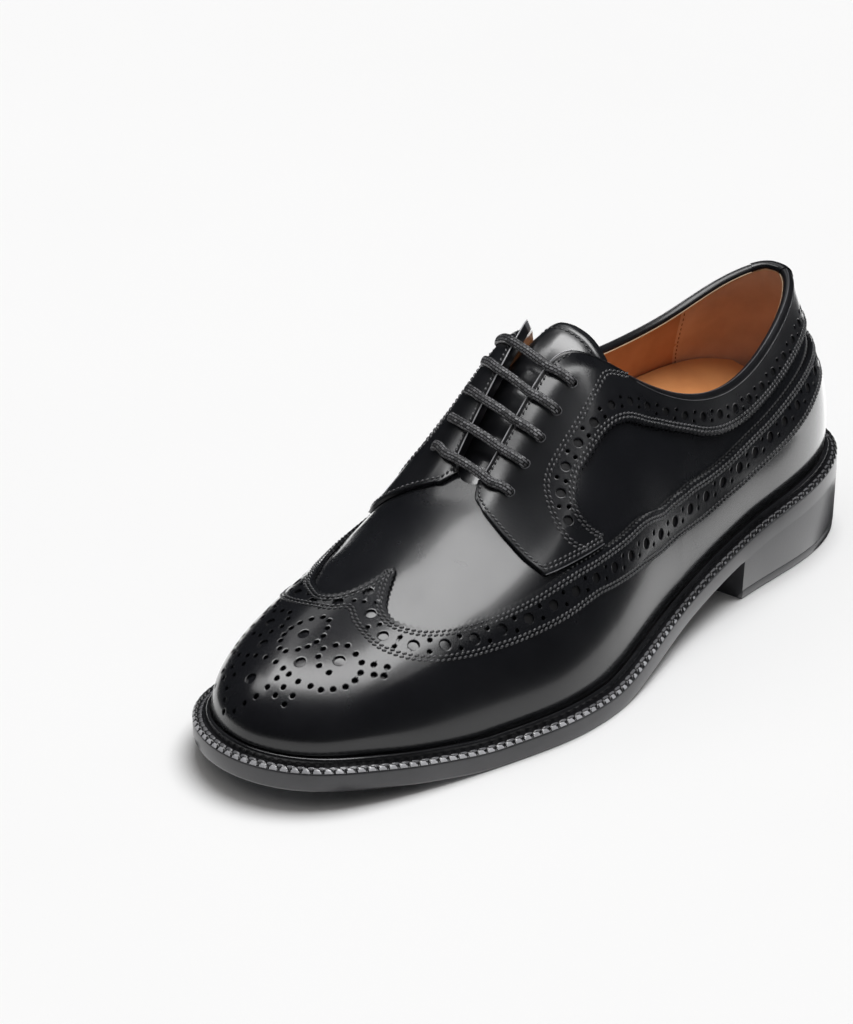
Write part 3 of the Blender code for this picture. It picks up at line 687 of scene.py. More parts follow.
def thicken(name, points, triangles, low, high, looks, stands_for, edge_drop, edge_tilt, shade):
    """Closes a triangulated sheet of the wall into a solid with rounded upper edges."""
    at = last(*points.T)
    n = facing_out(*points.T)
    same = {}
    weld = np.arange(len(points))
    for i, key in enumerate(map(tuple, np.round(at, 3))):
        weld[i] = same.setdefault(key, i)
    triangles = weld[triangles]
    triangles = triangles[(triangles != np.roll(triangles, 1, axis=1)).all(1)]
    used, triangles = np.unique(triangles, return_inverse=True)
    triangles = triangles.reshape(-1, 3)
    at = at[used]
    n = n[used]
    ways = np.vstack([triangles[:, [0, 1]], triangles[:, [1, 2]], triangles[:, [2, 0]]])
    key = ways[:, 0] * len(at) + ways[:, 1]
    back_key = ways[:, 1] * len(at) + ways[:, 0]
    border = ways[~np.isin(key, back_key)]
    outward = np.zeros_like(at)
    side = np.cross(at[border[:, 1]] - at[border[:, 0]], n[border[:, 0]])
    side = side / np.maximum(np.linalg.norm(side, axis=1, keepdims=True), 1e-9)
    np.add.at(outward, border[:, 0], side)
    np.add.at(outward, border[:, 1], side)
    on_edge = np.linalg.norm(outward, axis=1) > 1e-6
    outward[on_edge] = unit(outward[on_edge])
    lift = np.where(on_edge, high - edge_drop, high)
    top = at + n * lift[:, None]
    bottom = at + n * low
    lean = shade(points[used], at, n) if shade else n
    top_n = unit(lean + outward * edge_tilt[used][:, None])
    count = len(at)
    ends = border.ravel()
    many = len(ends)
    base = 2 * count + np.arange(0, many, 2)
    quads = np.stack([base, base + many, base + many + 1, base + 1], -1)
    side = np.repeat(side, 2, axis=0)
    verts = np.vstack([top, bottom, top[ends], bottom[ends]])
    normals = np.vstack([top_n, -n, side, side])
    faces = triangles.tolist() + (triangles[:, ::-1] + count).tolist() + quads.tolist()
    if looks[0] == looks[1]:
        return piece(name, verts, faces, looks[:1], stands_for, normals)
    pick = np.repeat([0, 1, 0], [len(triangles), len(triangles), len(quads)])
    return piece(name, verts, faces, looks, stands_for, normals, pick=pick)


def grid_faces(rows, columns, closed=False):
    """Faces of a grid that closes up along its columns, and along its rows too where it is closed."""
    i = np.arange(rows if closed else rows - 1)[:, None]
    j = np.arange(columns)[None, :]
    k = (i + 1) % rows
    m = (j + 1) % columns
    corners = np.broadcast_arrays(i * columns + j, k * columns + j, k * columns + m, i * columns + m)
    return np.stack(corners, -1).reshape(-1, 4)


def tube_faces(rows, columns):
    """Faces of a tube of rings, closed at both ends."""
    ends = [list(range(columns)), list(range((rows - 1) * columns, rows * columns))[::-1]]
    return grid_faces(rows, columns).tolist() + ends


def level_line(t, count):
    """Points once round the shoe from the heel, at one share of the ribs."""
    return np.stack([np.linspace(-0.5, 0.5, count), np.full(count, t)], -1)


def upright(s, start, stop, count):
    """Points along one rib."""
    return np.stack([np.full(count, s), np.linspace(start, stop, count)], -1)


# Wing cap with its saw-toothed edge, broguing and medallion
WING_FOOT = 0.02
UNDER_EDGE = 0.012
turn = np.linspace(-0.5, 0.5, 1601)
wing_rows = [(a - 1, b) for a, b in WING_EDGE] + WING_EDGE
wing_line = np.stack([turn, plain_curve(wing_rows, turn)], -1)
low_inner = other_side([r for r in WING_LOW if r[0] > 0.14])[::-1] - (1, 0)
low_line = smooth(np.vstack([low_inner, WING_LOW_TOE, WING_LOW]), 12)
hole_line = wing_line.copy()
hole_line[:, 1] = (wing_line[:, 1] + np.interp(turn, *low_line.T)) / 2 - UNDER_EDGE
wing_rim = np.vstack([
    level_line(WING_FOOT, 470),
    upright(0.5, WING_FOOT, wing_line[-1, 1] - UNDER_EDGE, 16),
    gimped(wing_line[::-1]),
    upright(-0.5, wing_line[0, 1] - UNDER_EDGE, WING_FOOT, 16),
])
LARGE_HOLE = 1.85
SMALL_HOLE = 0.78
SMALL_APART = 2.0
SMALL_LEAN = 0.18
PITCH = 10.4
LARGE_SIDES = 20
SMALL_SIDES = 10


def brogue_row(path, pitch, large, small, apart, start=0.0, stop=None):
    """Large holes along a path with two small ones, one above the other, between neighbours."""
    holes = [(s, t, large, LARGE_SIDES) for s, t in spaced(path, pitch, start, stop)]
    run = lengths(path)
    stop = run[-1] if stop is None else stop
    halfway = np.linspace(start, stop, 2 * len(holes) - 1)[1::2]
    middle = read_along(path, run, halfway)
    along = last(*read_along(path, run, halfway + 0.5).T) - last(*middle.T)
    left = unit(np.cross(facing_out(*middle.T), along))
    lean = unit(left + SMALL_LEAN * unit(along))
    for by in (apart, -apart):
        holes += [(s, t, small, SMALL_SIDES) for s, t in step_aside(middle, lean, by)]
    return holes


# One large hole sits on the medallion's axis
AXIS_S = 0.008
axis_run = lengths(hole_line)
axis_here = float(np.interp(AXIS_S, turn, axis_run))
reach = int((axis_run[-1] - axis_here) / PITCH) * PITCH
wing_holes = brogue_row(
    hole_line, PITCH, LARGE_HOLE, SMALL_HOLE, SMALL_APART, axis_here - reach, axis_here + reach)

MEDALLION_HOLES = ((MEDALLION_LARGE, 1.95, 20), (MEDALLION_SMALL, 0.96, 12))
TOE_GUESS = (0.004, 0.4)
tilt = math.radians(MEDALLION_TILT)
axis_way = np.array([math.sin(tilt), math.cos(tilt)])
cross_way = np.array([math.cos(tilt), -math.sin(tilt)])
for rows, radius, count in MEDALLION_HOLES:
    for along, across in rows:
        for sign in ((1, -1) if across else (1,)):
            ahead = along + MEDALLION_LEAN * across * sign
            x, d = np.array(MEDALLION_AT) + axis_way * ahead + cross_way * across * sign
            wing_holes.append((*from_above(x, d, TOE_GUESS), radius, count))
# The toe's crown leans back and outward a little, the holed band lies flatter than the leather below,
# and the foot of the wing draws in at the toe and turns under towards the welt, most by the heel
CROWN_AT = (-0.5, 42.0)
CROWN_REACH = (18.0, 48.0)
CROWN_LEAN = (0.27, 0.24)
BAND_LEAN = 0.18
TOE_DRAW = 0.15
FOOT_TURN = 0.5
# Where each lean starts and is whole: rise over the lower seam, way round to either side, share of the rib
BAND_RISE = (-0.012, 0.008)
BAND_SIDE = (0.16, 0.24)
TOE_SIDE = (0.11, 0.05)
TOE_RISE = (0.135, 0.085)
HEEL_SIDE = (0.27, 0.37)
FOOT_RISE = 0.055
FOOT_SHARE = (1.0, 0.4)


def ramp(value, start, stop):
    """Soft step from 0 at the start to 1 at the stop."""
    x = np.clip((value - start) / (stop - start), 0, 1)
    return x * x * (3 - 2 * x)


def wing_shade(st, at, n):
    near = np.exp(-(((at[:, :2] - CROWN_AT) / CROWN_REACH) ** 2).sum(1))
    far = np.abs(st[:, 0])
    above = st[:, 1] - np.interp(st[:, 0], *low_line.T)
    band = ramp(above, *BAND_RISE) * ramp(far, *BAND_SIDE)
    under = TOE_DRAW * ramp(far, *TOE_SIDE) * ramp(st[:, 1], *TOE_RISE)
    start = FOOT_RISE + FOOT_RISE * ramp(far, *HEEL_SIDE)
    under = under + FOOT_TURN * ramp(st[:, 1] / start, *FOOT_SHARE)
    lean = np.stack([near * CROWN_LEAN[0], near * CROWN_LEAN[1], BAND_LEAN * band - under], -1)
    return unit(n + lean)


panel("wing", wing_rim, wing_holes, GAP, OVERLAY_TOP, 1.7, BLACK_CALF, ("wing_cap",),
      shade=wing_shade)

# Leather seen at the bottom of the large holes: lower and upper height, rise in the middle, overlap
FLOOR_LOW = 0.35
FLOOR_HIGH = 0.75
FLOOR_CROWN = 0.12
FLOOR_OVERLAP = 0.06
LARGE_FROM = 1.4
LIT_REACH = 0.15


def hole_floors(name, holes, look):
    """One low disc under each large hole of a panel."""
    points = []
    faces = []
    for s, t, radius, count in holes:
        if radius < LARGE_FROM:
            continue
        ring = disc((s, t), radius + FLOOR_OVERLAP, count)
        first = len(points)
        crown = first + 2 * count
        points += [*skin(*ring.T, FLOOR_HIGH), *skin(*ring.T, FLOOR_LOW)]
        points += [skin(s, t, FLOOR_HIGH + FLOOR_CROWN), skin(s, t, FLOOR_LOW)]
        for j in range(count):
            a = first + j
            b = first + (j + 1) % count
            faces += [(a, b, crown), (b + count, a + count, crown + 1), (a + count, b + count, b, a)]
    return piece(name, points, faces, [look], sharp=50.0)


hole_floors("toe_hole_floors", [h for h in wing_holes if abs(h[0]) < LIT_REACH], BLACK_CALF)
hole_floors("wing_hole_floors", [h for h in wing_holes if abs(h[0]) >= LIT_REACH], PUNCHED)

# Facings with their collar bands
facing_front = smooth(FRONT_EDGE, 30)
facing_foot = smooth(TAB_FOOT, 30)
window = smooth(WINDOW_STITCH, 20)
WINDOW_EDGE = -1.9
window_edge = beside(window, WINDOW_EDGE)
COLUMNS = 420
topline = np.stack([np.linspace(WINDOW_STITCH[-1][0], FRONT_EDGE[0][0], COLUMNS), np.ones(COLUMNS)], -1)
eyestay = smooth(EYESTAY_STITCH, 20)
collar_holes = smooth(COLLAR_HOLES, 20)

# The facings roll over towards the throat, back from a slight hollow under the eyelets
FACING_ROLL = 0.38
FACING_HOLLOW = 0.12
FACING_SPREAD = 0.06
ROLL_RISE = (0.86, 0.95)
HOLLOW_RISE = (0.5, 0.64)
HOLLOW_SIDE = (0.33, 0.285)


def facing_shade(st, _, n):
    by_throat = np.mod(st[:, 0], 1.0)
    by_throat = np.minimum(by_throat, 1 - by_throat)
    over = ramp(st[:, 1], *ROLL_RISE)
    part = ramp(st[:, 1], *HOLLOW_RISE) * ramp(by_throat, *HOLLOW_SIDE)
    roll = (FACING_ROLL * over - FACING_HOLLOW) * part
    return unit(n + np.stack([FACING_SPREAD * over * part, roll, 0 * roll], -1))


# The collar's leather is pared towards the topline, under the fold
PARED = 1.0
PARED_FROM = (0.287, 0.300)


def rib_length(s):
    return np.linalg.norm(last(s, 1.0) - last(s, 0.99), axis=-1) / 0.01


band_top = topline.copy()
band_top[:, 1] -= PARED * ramp(topline[:, 0], *PARED_FROM) / rib_length(topline[:, 0])

# Lean of the shading at an edge: folded, cut, pared
FOLDED = 0.9
CUT = 0.05
PARED_EDGE = 0.1


def facing(name, node, mirrored):
    """One facing: folded front, saw-toothed window and collar band, punched holes and eyelets."""
    teeth = gimped(window_edge[::-1])[::-1]
    parts = [(facing_front[::3], FOLDED), (facing_foot[::4], FOLDED), (teeth, CUT), (band_top, PARED_EDGE)]
    rim = np.vstack([part for part, _ in parts])
    tilt = np.concatenate([np.full(len(part), lean) for part, lean in parts])
    holes = brogue_row(collar_holes, pitch=9.6, large=1.6, small=0.7, apart=1.6)
    more = [beside(edge, 0.5)[1:-1] for edge in (facing_front, facing_foot)]
    if mirrored:
        rim = other_side(rim)[::-1]
        tilt = tilt[::-1]
        more = [other_side(m) for m in more]
        holes = [(*other_side([h[:2]])[0], *h[2:]) for h in holes]
    hole_floors(name + "_hole_floors", holes, PUNCHED)
    holes += [(*(e[4:6] if mirrored else e[:2]), EYELET_RADIUS, LARGE_SIDES) for e in EYELETS]
    return panel(name, rim, holes, GAP, OVERLAY_TOP, 1.3, FACING_CALF, (node,), more,
                 edge_drop=0.25, rim_tilt=tilt, shade=facing_shade)


facing("eyestay_outer", "facing_outer", False)
facing("eyestay_inner", "facing_inner", True)

# Vamp and quarters: the wall under the overlays, with its eyelet holes
END_ROWS = 30
WALL_SIDES = 16


def round_rim(low, tops):
    """Rim of a panel all round the shoe, from one share of the ribs up to its own share on each."""
    around = level_line(low, COLUMNS)
    return np.vstack([
        around,
        upright(0.5, low, tops[-1], END_ROWS)[1:-1],
        np.stack([around[:, 0], tops], -1)[::-1],
        upright(-0.5, tops[0], low, END_ROWS)[1:-1],
    ])


wall_rim = round_rim(0.0, np.ones(COLUMNS))
wall_holes = []
for outer_s, outer_t, _, _, inner_s, inner_t, _ in EYELETS:
    for spot in ((outer_s, outer_t), (inner_s - 1, inner_t)):
        wall_holes.append((*spot, EYELET_RADIUS, WALL_SIDES))
# By the throat: share of the rib from which the shading is evened, and how far along the wall
CALM_FROM = 0.66
CALM_RISE = 0.12
CALM_SIDE = 0.175
CALM_REACH = 11.0
QUARTER_LEAN = 0.2
QUARTER_SIDE = (0.17, 0.23)


def vamp_shade(st, at, n):
    """Evens the shading of the vamp by the throat, where the ribs run together."""
    tree = tree_of(at)
    even = n.copy()
    for i in np.nonzero((st[:, 1] > CALM_FROM) & (np.abs(st[:, 0]) < CALM_SIDE))[0]:
        share = min(1.0, (st[i, 1] - CALM_FROM) / CALM_RISE)
        near = [j for _, j, _ in tree.find_range(Vector(at[i]), CALM_REACH * share + 0.5)]
        even[i] = n[near].mean(0)
    quarter = ramp(np.abs(st[:, 0]), *QUARTER_SIDE)
    return unit(even + np.stack([0 * quarter, 0 * quarter, QUARTER_LEAN * quarter], -1))


panel("vamp_and_quarters", wall_rim, wall_holes, -1.2, 0.0, 2.0, BLACK_CALF, ("upper",),
      shade=vamp_shade, inside=PUNCHED)

# Lining: tan leather behind the wall, ending in a raw edge below the collar's fold
COLLAR_START = 0.297
COLLAR_END = float(other_side([(COLLAR_START, 1.0)])[0, 0])
FOLD_DEPTH = 0.9
# The seam in front of the heel part of the lining: way round and share of the rib
LINING_SEAM = smooth([(0.5905, 0.965), (0.5898, 0.85), (0.588, 0.70), (0.5855, 0.56), (0.583, 0.42)], 20)
# How far the lining stops below the topline: way round, depth at the throat, its top corners and the collar
LINING_DEPTH = [
    (0.0, 48.0), (0.245, 48.0), (0.262, 0.9), (0.291, 0.9), (0.303, FOLD_DEPTH), (0.690, FOLD_DEPTH),
    (0.696, 0.9), (0.702, 48.0), (1.0, 48.0),
]


def collar_depth(s):
    return np.interp(np.mod(s, 1.0), *np.transpose(LINING_DEPTH))


around = np.linspace(-0.5, 0.5, COLUMNS)
lining_rim = round_rim(0.06, 1 - collar_depth(around) / rib_length(around))
seam_inner = spaced(LINING_SEAM, 0.9) - (1.0, 0.0)
seams = [seam_inner, seam_inner * (-1.0, 1.0)]
lining = panel("lining", lining_rim, wall_holes, -WALL, -1.25, 2.6, LINING, (), seams, 0.1)
# The heel part of the lining is sueded, behind the seams
seam_spots = last(*seam_inner[::-1].T)
lining.data.materials.append(HEEL_LINING)
for polygon in lining.data.polygons:
    d = polygon.center[1] / MM + CENTRE_D
    polygon.material_index = int(d > np.interp(polygon.center[2] / MM, seam_spots[:, 2], seam_spots[:, 1]))


def by_topline(s, below, offset):
    """A point near the topline: below it along the wall, or above it when below is negative."""
    s = np.asarray(s, float)
    share = 1 - max(below, 0.0) / rib_length(s)
    up_way = unit(last(s, 1.0) - last(s, 0.98))
    return skin(s, share, offset) - up_way * min(below, 0.0)


def strip(name, stations, profile, look, stands_for=(), spot=by_topline):
    """A band along the topline with a closed profile."""
    rows = np.stack([spot(stations, below, offset) for below, offset in profile], 1)
    return piece(name, rows, tube_faces(*rows.shape[:2]), [look], stands_for, sharp=50.0)


# Collar fold over the topline, in two lengths with the backstay between them. The profile of this and
# the other bands: distance below the topline, offset from the wall
FOLD = [
    (1.9, 1.60), (1.3, 1.66), (0.8, 1.56), (0.3, 1.25), (-0.1, 0.85), (-0.4, 0.35), (-0.5, -0.2),
    (-0.45, -0.8), (-0.25, -1.3), (0.1, -1.75), (0.5, -2.05), (FOLD_DEPTH, -2.2),
    (FOLD_DEPTH + 0.05, -2.05), (0.55, -1.85), (0.1, -1.3), (-0.05, -0.8), (-0.1, -0.2), (0.0, 0.2),
    (0.3, 0.7), (0.9, 1.3), (1.5, 1.54),
]
FOLD_ENDS = (0.4893, 0.5112)
strip("collar_fold_outer", np.linspace(COLLAR_START, FOLD_ENDS[0], 150), FOLD, BINDING)
strip("collar_fold_inner", np.linspace(FOLD_ENDS[1], COLLAR_END, 150), FOLD, BINDING)
# Folded edges of the throat
THROAT_FOLD = [
    (1.1, 1.62), (0.7, 1.74), (0.15, 1.74), (-0.2, 1.58), (-0.38, 1.2), (-0.4, 0.4), (-0.4, -1.6),
    (-0.25, -2.0), (0.2, -2.25), (1.2, -2.3), (3.0, -2.3), (3.0, -2.08), (0.6, -2.06), (0.1, -1.6),
    (0.1, 1.0), (0.4, 1.56),
]
THROAT_END = 0.09
strip("throat_fold_outer", np.linspace(THROAT_END, COLLAR_START, 150), THROAT_FOLD, BINDING)
# The top corner of the inner facing curls up: its middle, half width and rounding in way round, its reach
CURL_AT = 0.719
CURL_WIDE = 0.0125
CORNER_SOFT = 0.0085
CURL = np.array([0.8, 3.0, 3.2])
CURL_SPAN = (0.7105, 0.7275)
CURL_ABOVE = 0.12
CURL_STEP = 0.0011


def curled(s, below, offset):
    """A point near the topline with the corner turned up and rounded: the mean of the spots near by."""
    spots = []
    for near in s + np.linspace(-CORNER_SOFT, CORNER_SOFT, 13)[:, None]:
        turn = np.exp(-(((near - CURL_AT) / CURL_WIDE) ** 4))[:, None] * (below < CURL_ABOVE)
        spots.append(by_topline(near, below, offset) + CURL * turn)
    return np.mean(spots, axis=0)


# The curled corner of the inner facing is coloured with the painted fold highlight
for name, start, stop, look in (
    ("throat_fold_back", COLLAR_END, CURL_SPAN[0], BINDING),
    ("throat_curl", *CURL_SPAN, FOLD_HIGHLIGHT),
    ("throat_fold_inner", CURL_SPAN[1], float(other_side([(THROAT_END, 1.0)])[0, 0]), BINDING),
):
    stations = np.linspace(start, stop, int((stop - start) / CURL_STEP) + 2)
    strip(name, stations, THROAT_FOLD, look, spot=curled)
RAW = [(0.95, -2.03), (0.88, -2.3), (1.05, -2.5), (1.4, -2.48), (1.65, -2.3), (1.6, -2.03)]
strip("raw_edge", np.linspace(COLLAR_START + 0.01, COLLAR_END - 0.01, 280), RAW, RAW_EDGE)
BACKSTAY = [
    (17, 1.75), (16.7, 1.95), (12, 2.0), (6, 2.0), (3.0, 2.0), (1.4, 1.9), (0.9, 1.75), (0.9, 1.35),
    (3.0, 1.35), (12, 1.35), (17, 1.35),
]
BACKSTAY_SPAN = (0.4895, 0.511)
strip("heel_strip", np.linspace(*BACKSTAY_SPAN, 15), BACKSTAY, BLACK_CALF, ("backstay",))
# A tab folded over the topline at the heel
HEEL_TAB = [
    (4.2, 2.05), (4.1, 2.3), (3.6, 2.4), (1.4, 2.35), (0.7, 2.1), (0.1, 1.7), (-0.4, 1.15), (-0.78, 0.5),
    (-0.9, -0.2), (-0.85, -0.95), (-0.6, -1.6), (-0.2, -2.1), (0.4, -2.4), (0.75, -2.5), (0.9, -2.45),
    (0.9, -2.3), (0.5, -2.2), (0.0, -1.8), (-0.4, -1.0), (-0.55, -0.2), (-0.4, 0.45), (0.0, 1.0),
    (0.6, 1.45), (1.4, 1.72), (4.2, 1.72),
]
TAB_SPAN = (0.4745, 0.5405)
strip("heel_tab", np.linspace(*TAB_SPAN, 30), HEEL_TAB, BLACK_CALF)


def highlight_line(name, path, look, radius=0.2, sides=8):
    """A fine rounded tube along points in space: a painted highlight along an edge."""
    way = unit(np.gradient(path, axis=0))
    first = unit(np.cross(way, (0.31, 0.17, 0.93)))
    second = np.cross(way, first)
    angle = circle(sides)[None, :, None]
    rows = path[:, None] + (first[:, None] * np.cos(angle) + second[:, None] * np.sin(angle)) * radius
    return piece(name, rows, tube_faces(len(path), sides), [look], sharp=70.0)


# Painted highlights along the throat, tab and collar edges, as fine light tubes
# Places by the topline: distance below it, offset from the wall
THROAT_EDGE = (-0.2, 1.66)
COLLAR_EDGE = (-0.42, 0.3)
FOLD_EDGE = (1.9, 1.6)
highlight_line("throat_edge_highlight_outer", by_topline(np.linspace(0.140, 0.272, 120), *THROAT_EDGE), EDGE_HIGHLIGHT, 0.24)
highlight_line("throat_edge_highlight_inner", curled(np.linspace(0.7085, 0.862, 160), *THROAT_EDGE), EDGE_HIGHLIGHT, 0.22)
foot_line = spaced(facing_foot, 0.8)
for name, path in (("tab_edge_highlight_outer", foot_line), ("tab_edge_highlight_inner", other_side(foot_line))):
    highlight_line(name, skin(*path.T, OVERLAY_TOP - 0.2), FOLD_HIGHLIGHT)
for name, start, stop, spot, radius in (
    ("collar_edge_highlight_outer", 0.275, 0.473, COLLAR_EDGE, 0.2),
    ("collar_fold_highlight", 0.300, 0.4735, FOLD_EDGE, 0.12),
    ("collar_edge_highlight_inner", 0.542, 0.700, COLLAR_EDGE, 0.2),
):
    highlight_line(name, by_topline(np.linspace(start, stop, 150), *spot), FOLD_HIGHLIGHT, radius)


def eyelet_highlights(name, spots):
    """A lighter ring round each eyelet, a painted highlight on its cut edge, in one mesh."""
    count = 24
    sides = 6
    angle = circle(sides)[None, :, None]
    rims = []
    faces = []
    for number, spot in enumerate(spots):
        ring = disc(spot, EYELET_RADIUS + 0.05, count)
        path = skin(*ring.T, OVERLAY_TOP - 0.06)
        up_way = facing_out(*ring.T)[:, None]
        out_way = unit(path - path.mean(0))[:, None]
        rims.append(path[:, None] + (out_way * np.cos(angle) + up_way * np.sin(angle)) * 0.14)
        faces += (grid_faces(count, sides, True) + number * count * sides).tolist()
    return piece(name, rims, faces, [FOLD_HIGHLIGHT], sharp=70.0)


eyelet_highlights("eyelet_highlights_outer", [e[:2] for e in EYELETS])
eyelet_highlights("eyelet_highlights_inner", [e[4:6] for e in EYELETS])


def finer(rows, parts):
    """Smooth rows between rows, along the first axis."""
    rows = np.asarray(rows, float)
    ends = np.concatenate([2 * rows[:1] - rows[1:2], rows, 2 * rows[-1:] - rows[-2:-1]])
    done = []
    for i in range(1, len(ends) - 2):
        p0, p1, p2, p3 = ends[i - 1: i + 3]
        for x in np.linspace(0, 1, parts, endpoint=False):
            done.append(0.5 * (2 * p1 + (p2 - p0) * x + (2 * p0 - 5 * p1 + 4 * p2 - p3) * x**2
                               + (3 * p1 - p0 - 3 * p2 + p3) * x**3))
    done.append(rows[-1])
    return np.array(done)


# Tongue: under the throat, below the facings and past their top, with a folded top edge
FRONT_S = (0.150, 0.132, 0.112, 0.085, 0.045, 0.005, 0.965, 0.925, 0.895, 0.875, 0.855)
ACROSS = np.array([0.74, 0.80, 0.86, 0.92, 1.0])
TONGUE_IN = -6.0
TONGUE_THICK = 1.6
MIDDLE = 5
tongue_rows = [skin(np.array(FRONT_S), 0.93, -WALL - GAP - 0.1)]
for outer_s, inner_s in TONGUE_ROWS:
    outer_half = skin(outer_s, ACROSS, TONGUE_IN)
    inner_half = skin(inner_s, ACROSS, TONGUE_IN)
    crown = (outer_half[-1] + inner_half[-1]) / 2 + np.array([0, 0, 1.0])
    tongue_rows.append(np.vstack([outer_half, crown[None], inner_half[::-1]]))
last_row = tongue_rows[-1]
climb = unit(last_row[MIDDLE] - tongue_rows[-2][MIDDLE])
# Past the facings: reach beyond the last row, lean, rise, share of the width kept
TONGUE_TOP = [(8, 0.2, -0.3, 0.94), (16, 0.3, -2.0, 0.85), (22.5, 0.5, -4.5, 0.77), (28.5, 0.6, -8.5, 0.75)]
# The inner half is narrower
NARROW = np.where(np.arange(len(last_row)) > MIDDLE, 0.9, 1.0)[:, None]
for reach, lean, rise, kept in TONGUE_TOP:
    row = last_row + climb * reach + np.array([lean, 0, rise])
    tongue_rows.append(row[MIDDLE] + (row - row[MIDDLE]) * (kept * NARROW))
tongue_grid = finer(np.array(tongue_rows), 8)
tongue_grid = finer(tongue_grid.transpose(1, 0, 2), 5).transpose(1, 0, 2)


def grid_normals(grid):
    n = unit(np.cross(np.gradient(grid, axis=1), np.gradient(grid, axis=0)))
    return np.where(n[..., 2:3] < 0, -n, n)


tongue_up = grid_normals(tongue_grid)
tongue_rows_many, tongue_across = tongue_grid.shape[:2]
up_share = np.linspace(0, 1, tongue_rows_many)[:, None]
side_share = np.linspace(-1, 1, tongue_across)[None, :]
# Soft folds of the tongue between the bars: place up the tongue, depth, width, bow
TONGUE_FOLDS = [
    (0.30, 0.35, 0.016, 0.03), (0.39, 0.45, 0.018, -0.02), (0.49, 0.4, 0.016, 0.03),
    (0.585, 0.3, 0.015, -0.02),
]
relief = np.zeros((tongue_rows_many, tongue_across))
for at, depth, width, bow in TONGUE_FOLDS:
    relief -= depth * np.exp(-(((up_share - at - bow * side_share**2) / width) ** 2))
# The turned top edge is thicker and falls off at its end: place up the tongue, softness, height
HEM_AT = 0.91
HEM_SOFT = 0.006
HEM_THICK = 0.45
FALL_FROM = 0.975
FALL = 1.1
relief += HEM_THICK / (1 + np.exp(-(up_share - HEM_AT) / HEM_SOFT))
relief -= FALL * np.clip((up_share - FALL_FROM) / (1 - FALL_FROM), 0, 1) ** 2
tongue_top = tongue_grid + tongue_up * relief[..., None]
tongue_low = tongue_grid - tongue_up * TONGUE_THICK
tongue_loop = np.concatenate([tongue_top, tongue_low[:, ::-1]], axis=1)
ring_count = 2 * tongue_across
tongue_faces = grid_faces(tongue_rows_many, ring_count)[:, ::-1].tolist()
for i in (0, tongue_rows_many - 1):
    for j in range(tongue_across - 1):
        upper = i * ring_count + j
        lower = (i + 1) * ring_count - 1 - j
        quad = [upper, upper + 1, lower - 1, lower]
        tongue_faces.append(quad if i == 0 else quad[::-1])
piece("tongue_leather", tongue_loop, tongue_faces, [TONGUE_CALF], ("tongue",))

# Lace: five flat bars over the throat, through the eyelets, running on under the facings
LACE_WIDE = 1.7
LACE_THICK = 0.95
OVER = OVERLAY_TOP + LACE_THICK + 0.1
UNDER = -(WALL + GAP + LACE_THICK + 0.5)


def bar(outer_s, outer_t, outer_edge, inner_edge, inner_s, inner_t, bend):
    halves = []
    for s, t, edge_s in ((outer_s, outer_t, outer_edge), (inner_s, inner_t, inner_edge)):
        part = np.array([0, 0, 0.05, 0.3, 0.65, 1.0])
        heights = np.array([UNDER, (OVER + UNDER) / 2, OVER - 0.25] + [OVER] * 3)
        halves.append(skin(s + (edge_s - s) * part**bend, t + (1 - t) * part, heights))
    crown = (halves[0][-1] + halves[1][-1]) / 2 + np.array([0, 0, 0.3])
    return np.vstack([halves[0], crown[None], halves[1][::-1]])


lace_path = []
for i, eyelet in enumerate(EYELETS):
    run = bar(*eyelet)
    lace_path.append(run if i % 2 == 0 else run[::-1])
lace_path = finer(np.vstack(lace_path), 7)
ways = unit(np.gradient(lace_path, axis=0))
# The flat of the lace keeps its edges up and down the throat
up_throat = unit(tongue_rows[4][MIDDLE] - tongue_rows[1][MIDDLE])
across_way = up_throat
LACE_SIDES = 16
angle = circle(LACE_SIDES)[:, None]
round_lift = np.sign(np.cos(angle)) * np.abs(np.cos(angle)) ** 0.75
lace_rows = []
for point, way in zip(lace_path, ways):
    steady = up_throat if abs(np.dot(up_throat, way)) < 0.8 else across_way
    across_way = unit(steady - way * np.dot(steady, way))
    lift = np.cross(across_way, way)
    lace_rows.append(point + lift * round_lift * LACE_THICK + across_way * np.sin(angle) * LACE_WIDE)
lace_faces = [face[::-1] for face in tube_faces(len(lace_rows), LACE_SIDES)]
lace = piece("lace_cord", lace_rows, lace_faces, [LACE], ("lace",))
lace_run = run_along(lace_path)
lace_map = lace.data.uv_layers.new(name="along")
GIRTH = 8.64
for polygon, corners in zip(lace.data.polygons, lace_faces):
    for loop, corner in zip(polygon.loop_indices, corners):
        ring, place_in_ring = divmod(corner, LACE_SIDES)
        wrapped = place_in_ring == 0 and (LACE_SIDES - 1) in [c % LACE_SIDES for c in corners]
        turn_share = 1.0 if wrapped else place_in_ring / LACE_SIDES
        lace_map.data[loop].uv = (lace_run[ring], turn_share * GIRTH)

# Stitches: short waxed lengths of thread, joined by panel; the black thread's grey is a painted sheen
THREAD_RING = 6


def stitch_rows(rows):
    """Centre, direction and outward way of every stitch on rows of (path, height, pitch)."""
    centres = []
    alongs = []
    outs = []
    for path, height, pitch in rows:
        even = spaced(path, pitch)
        p = skin(*even.T, height)
        centres.append((p[1:] + p[:-1]) / 2)
        alongs.append(unit(p[1:] - p[:-1]))
        middle = (even[1:] + even[:-1]) / 2
        outs.append(facing_out(*middle.T))
    return np.vstack(centres), np.vstack(alongs), np.vstack(outs)


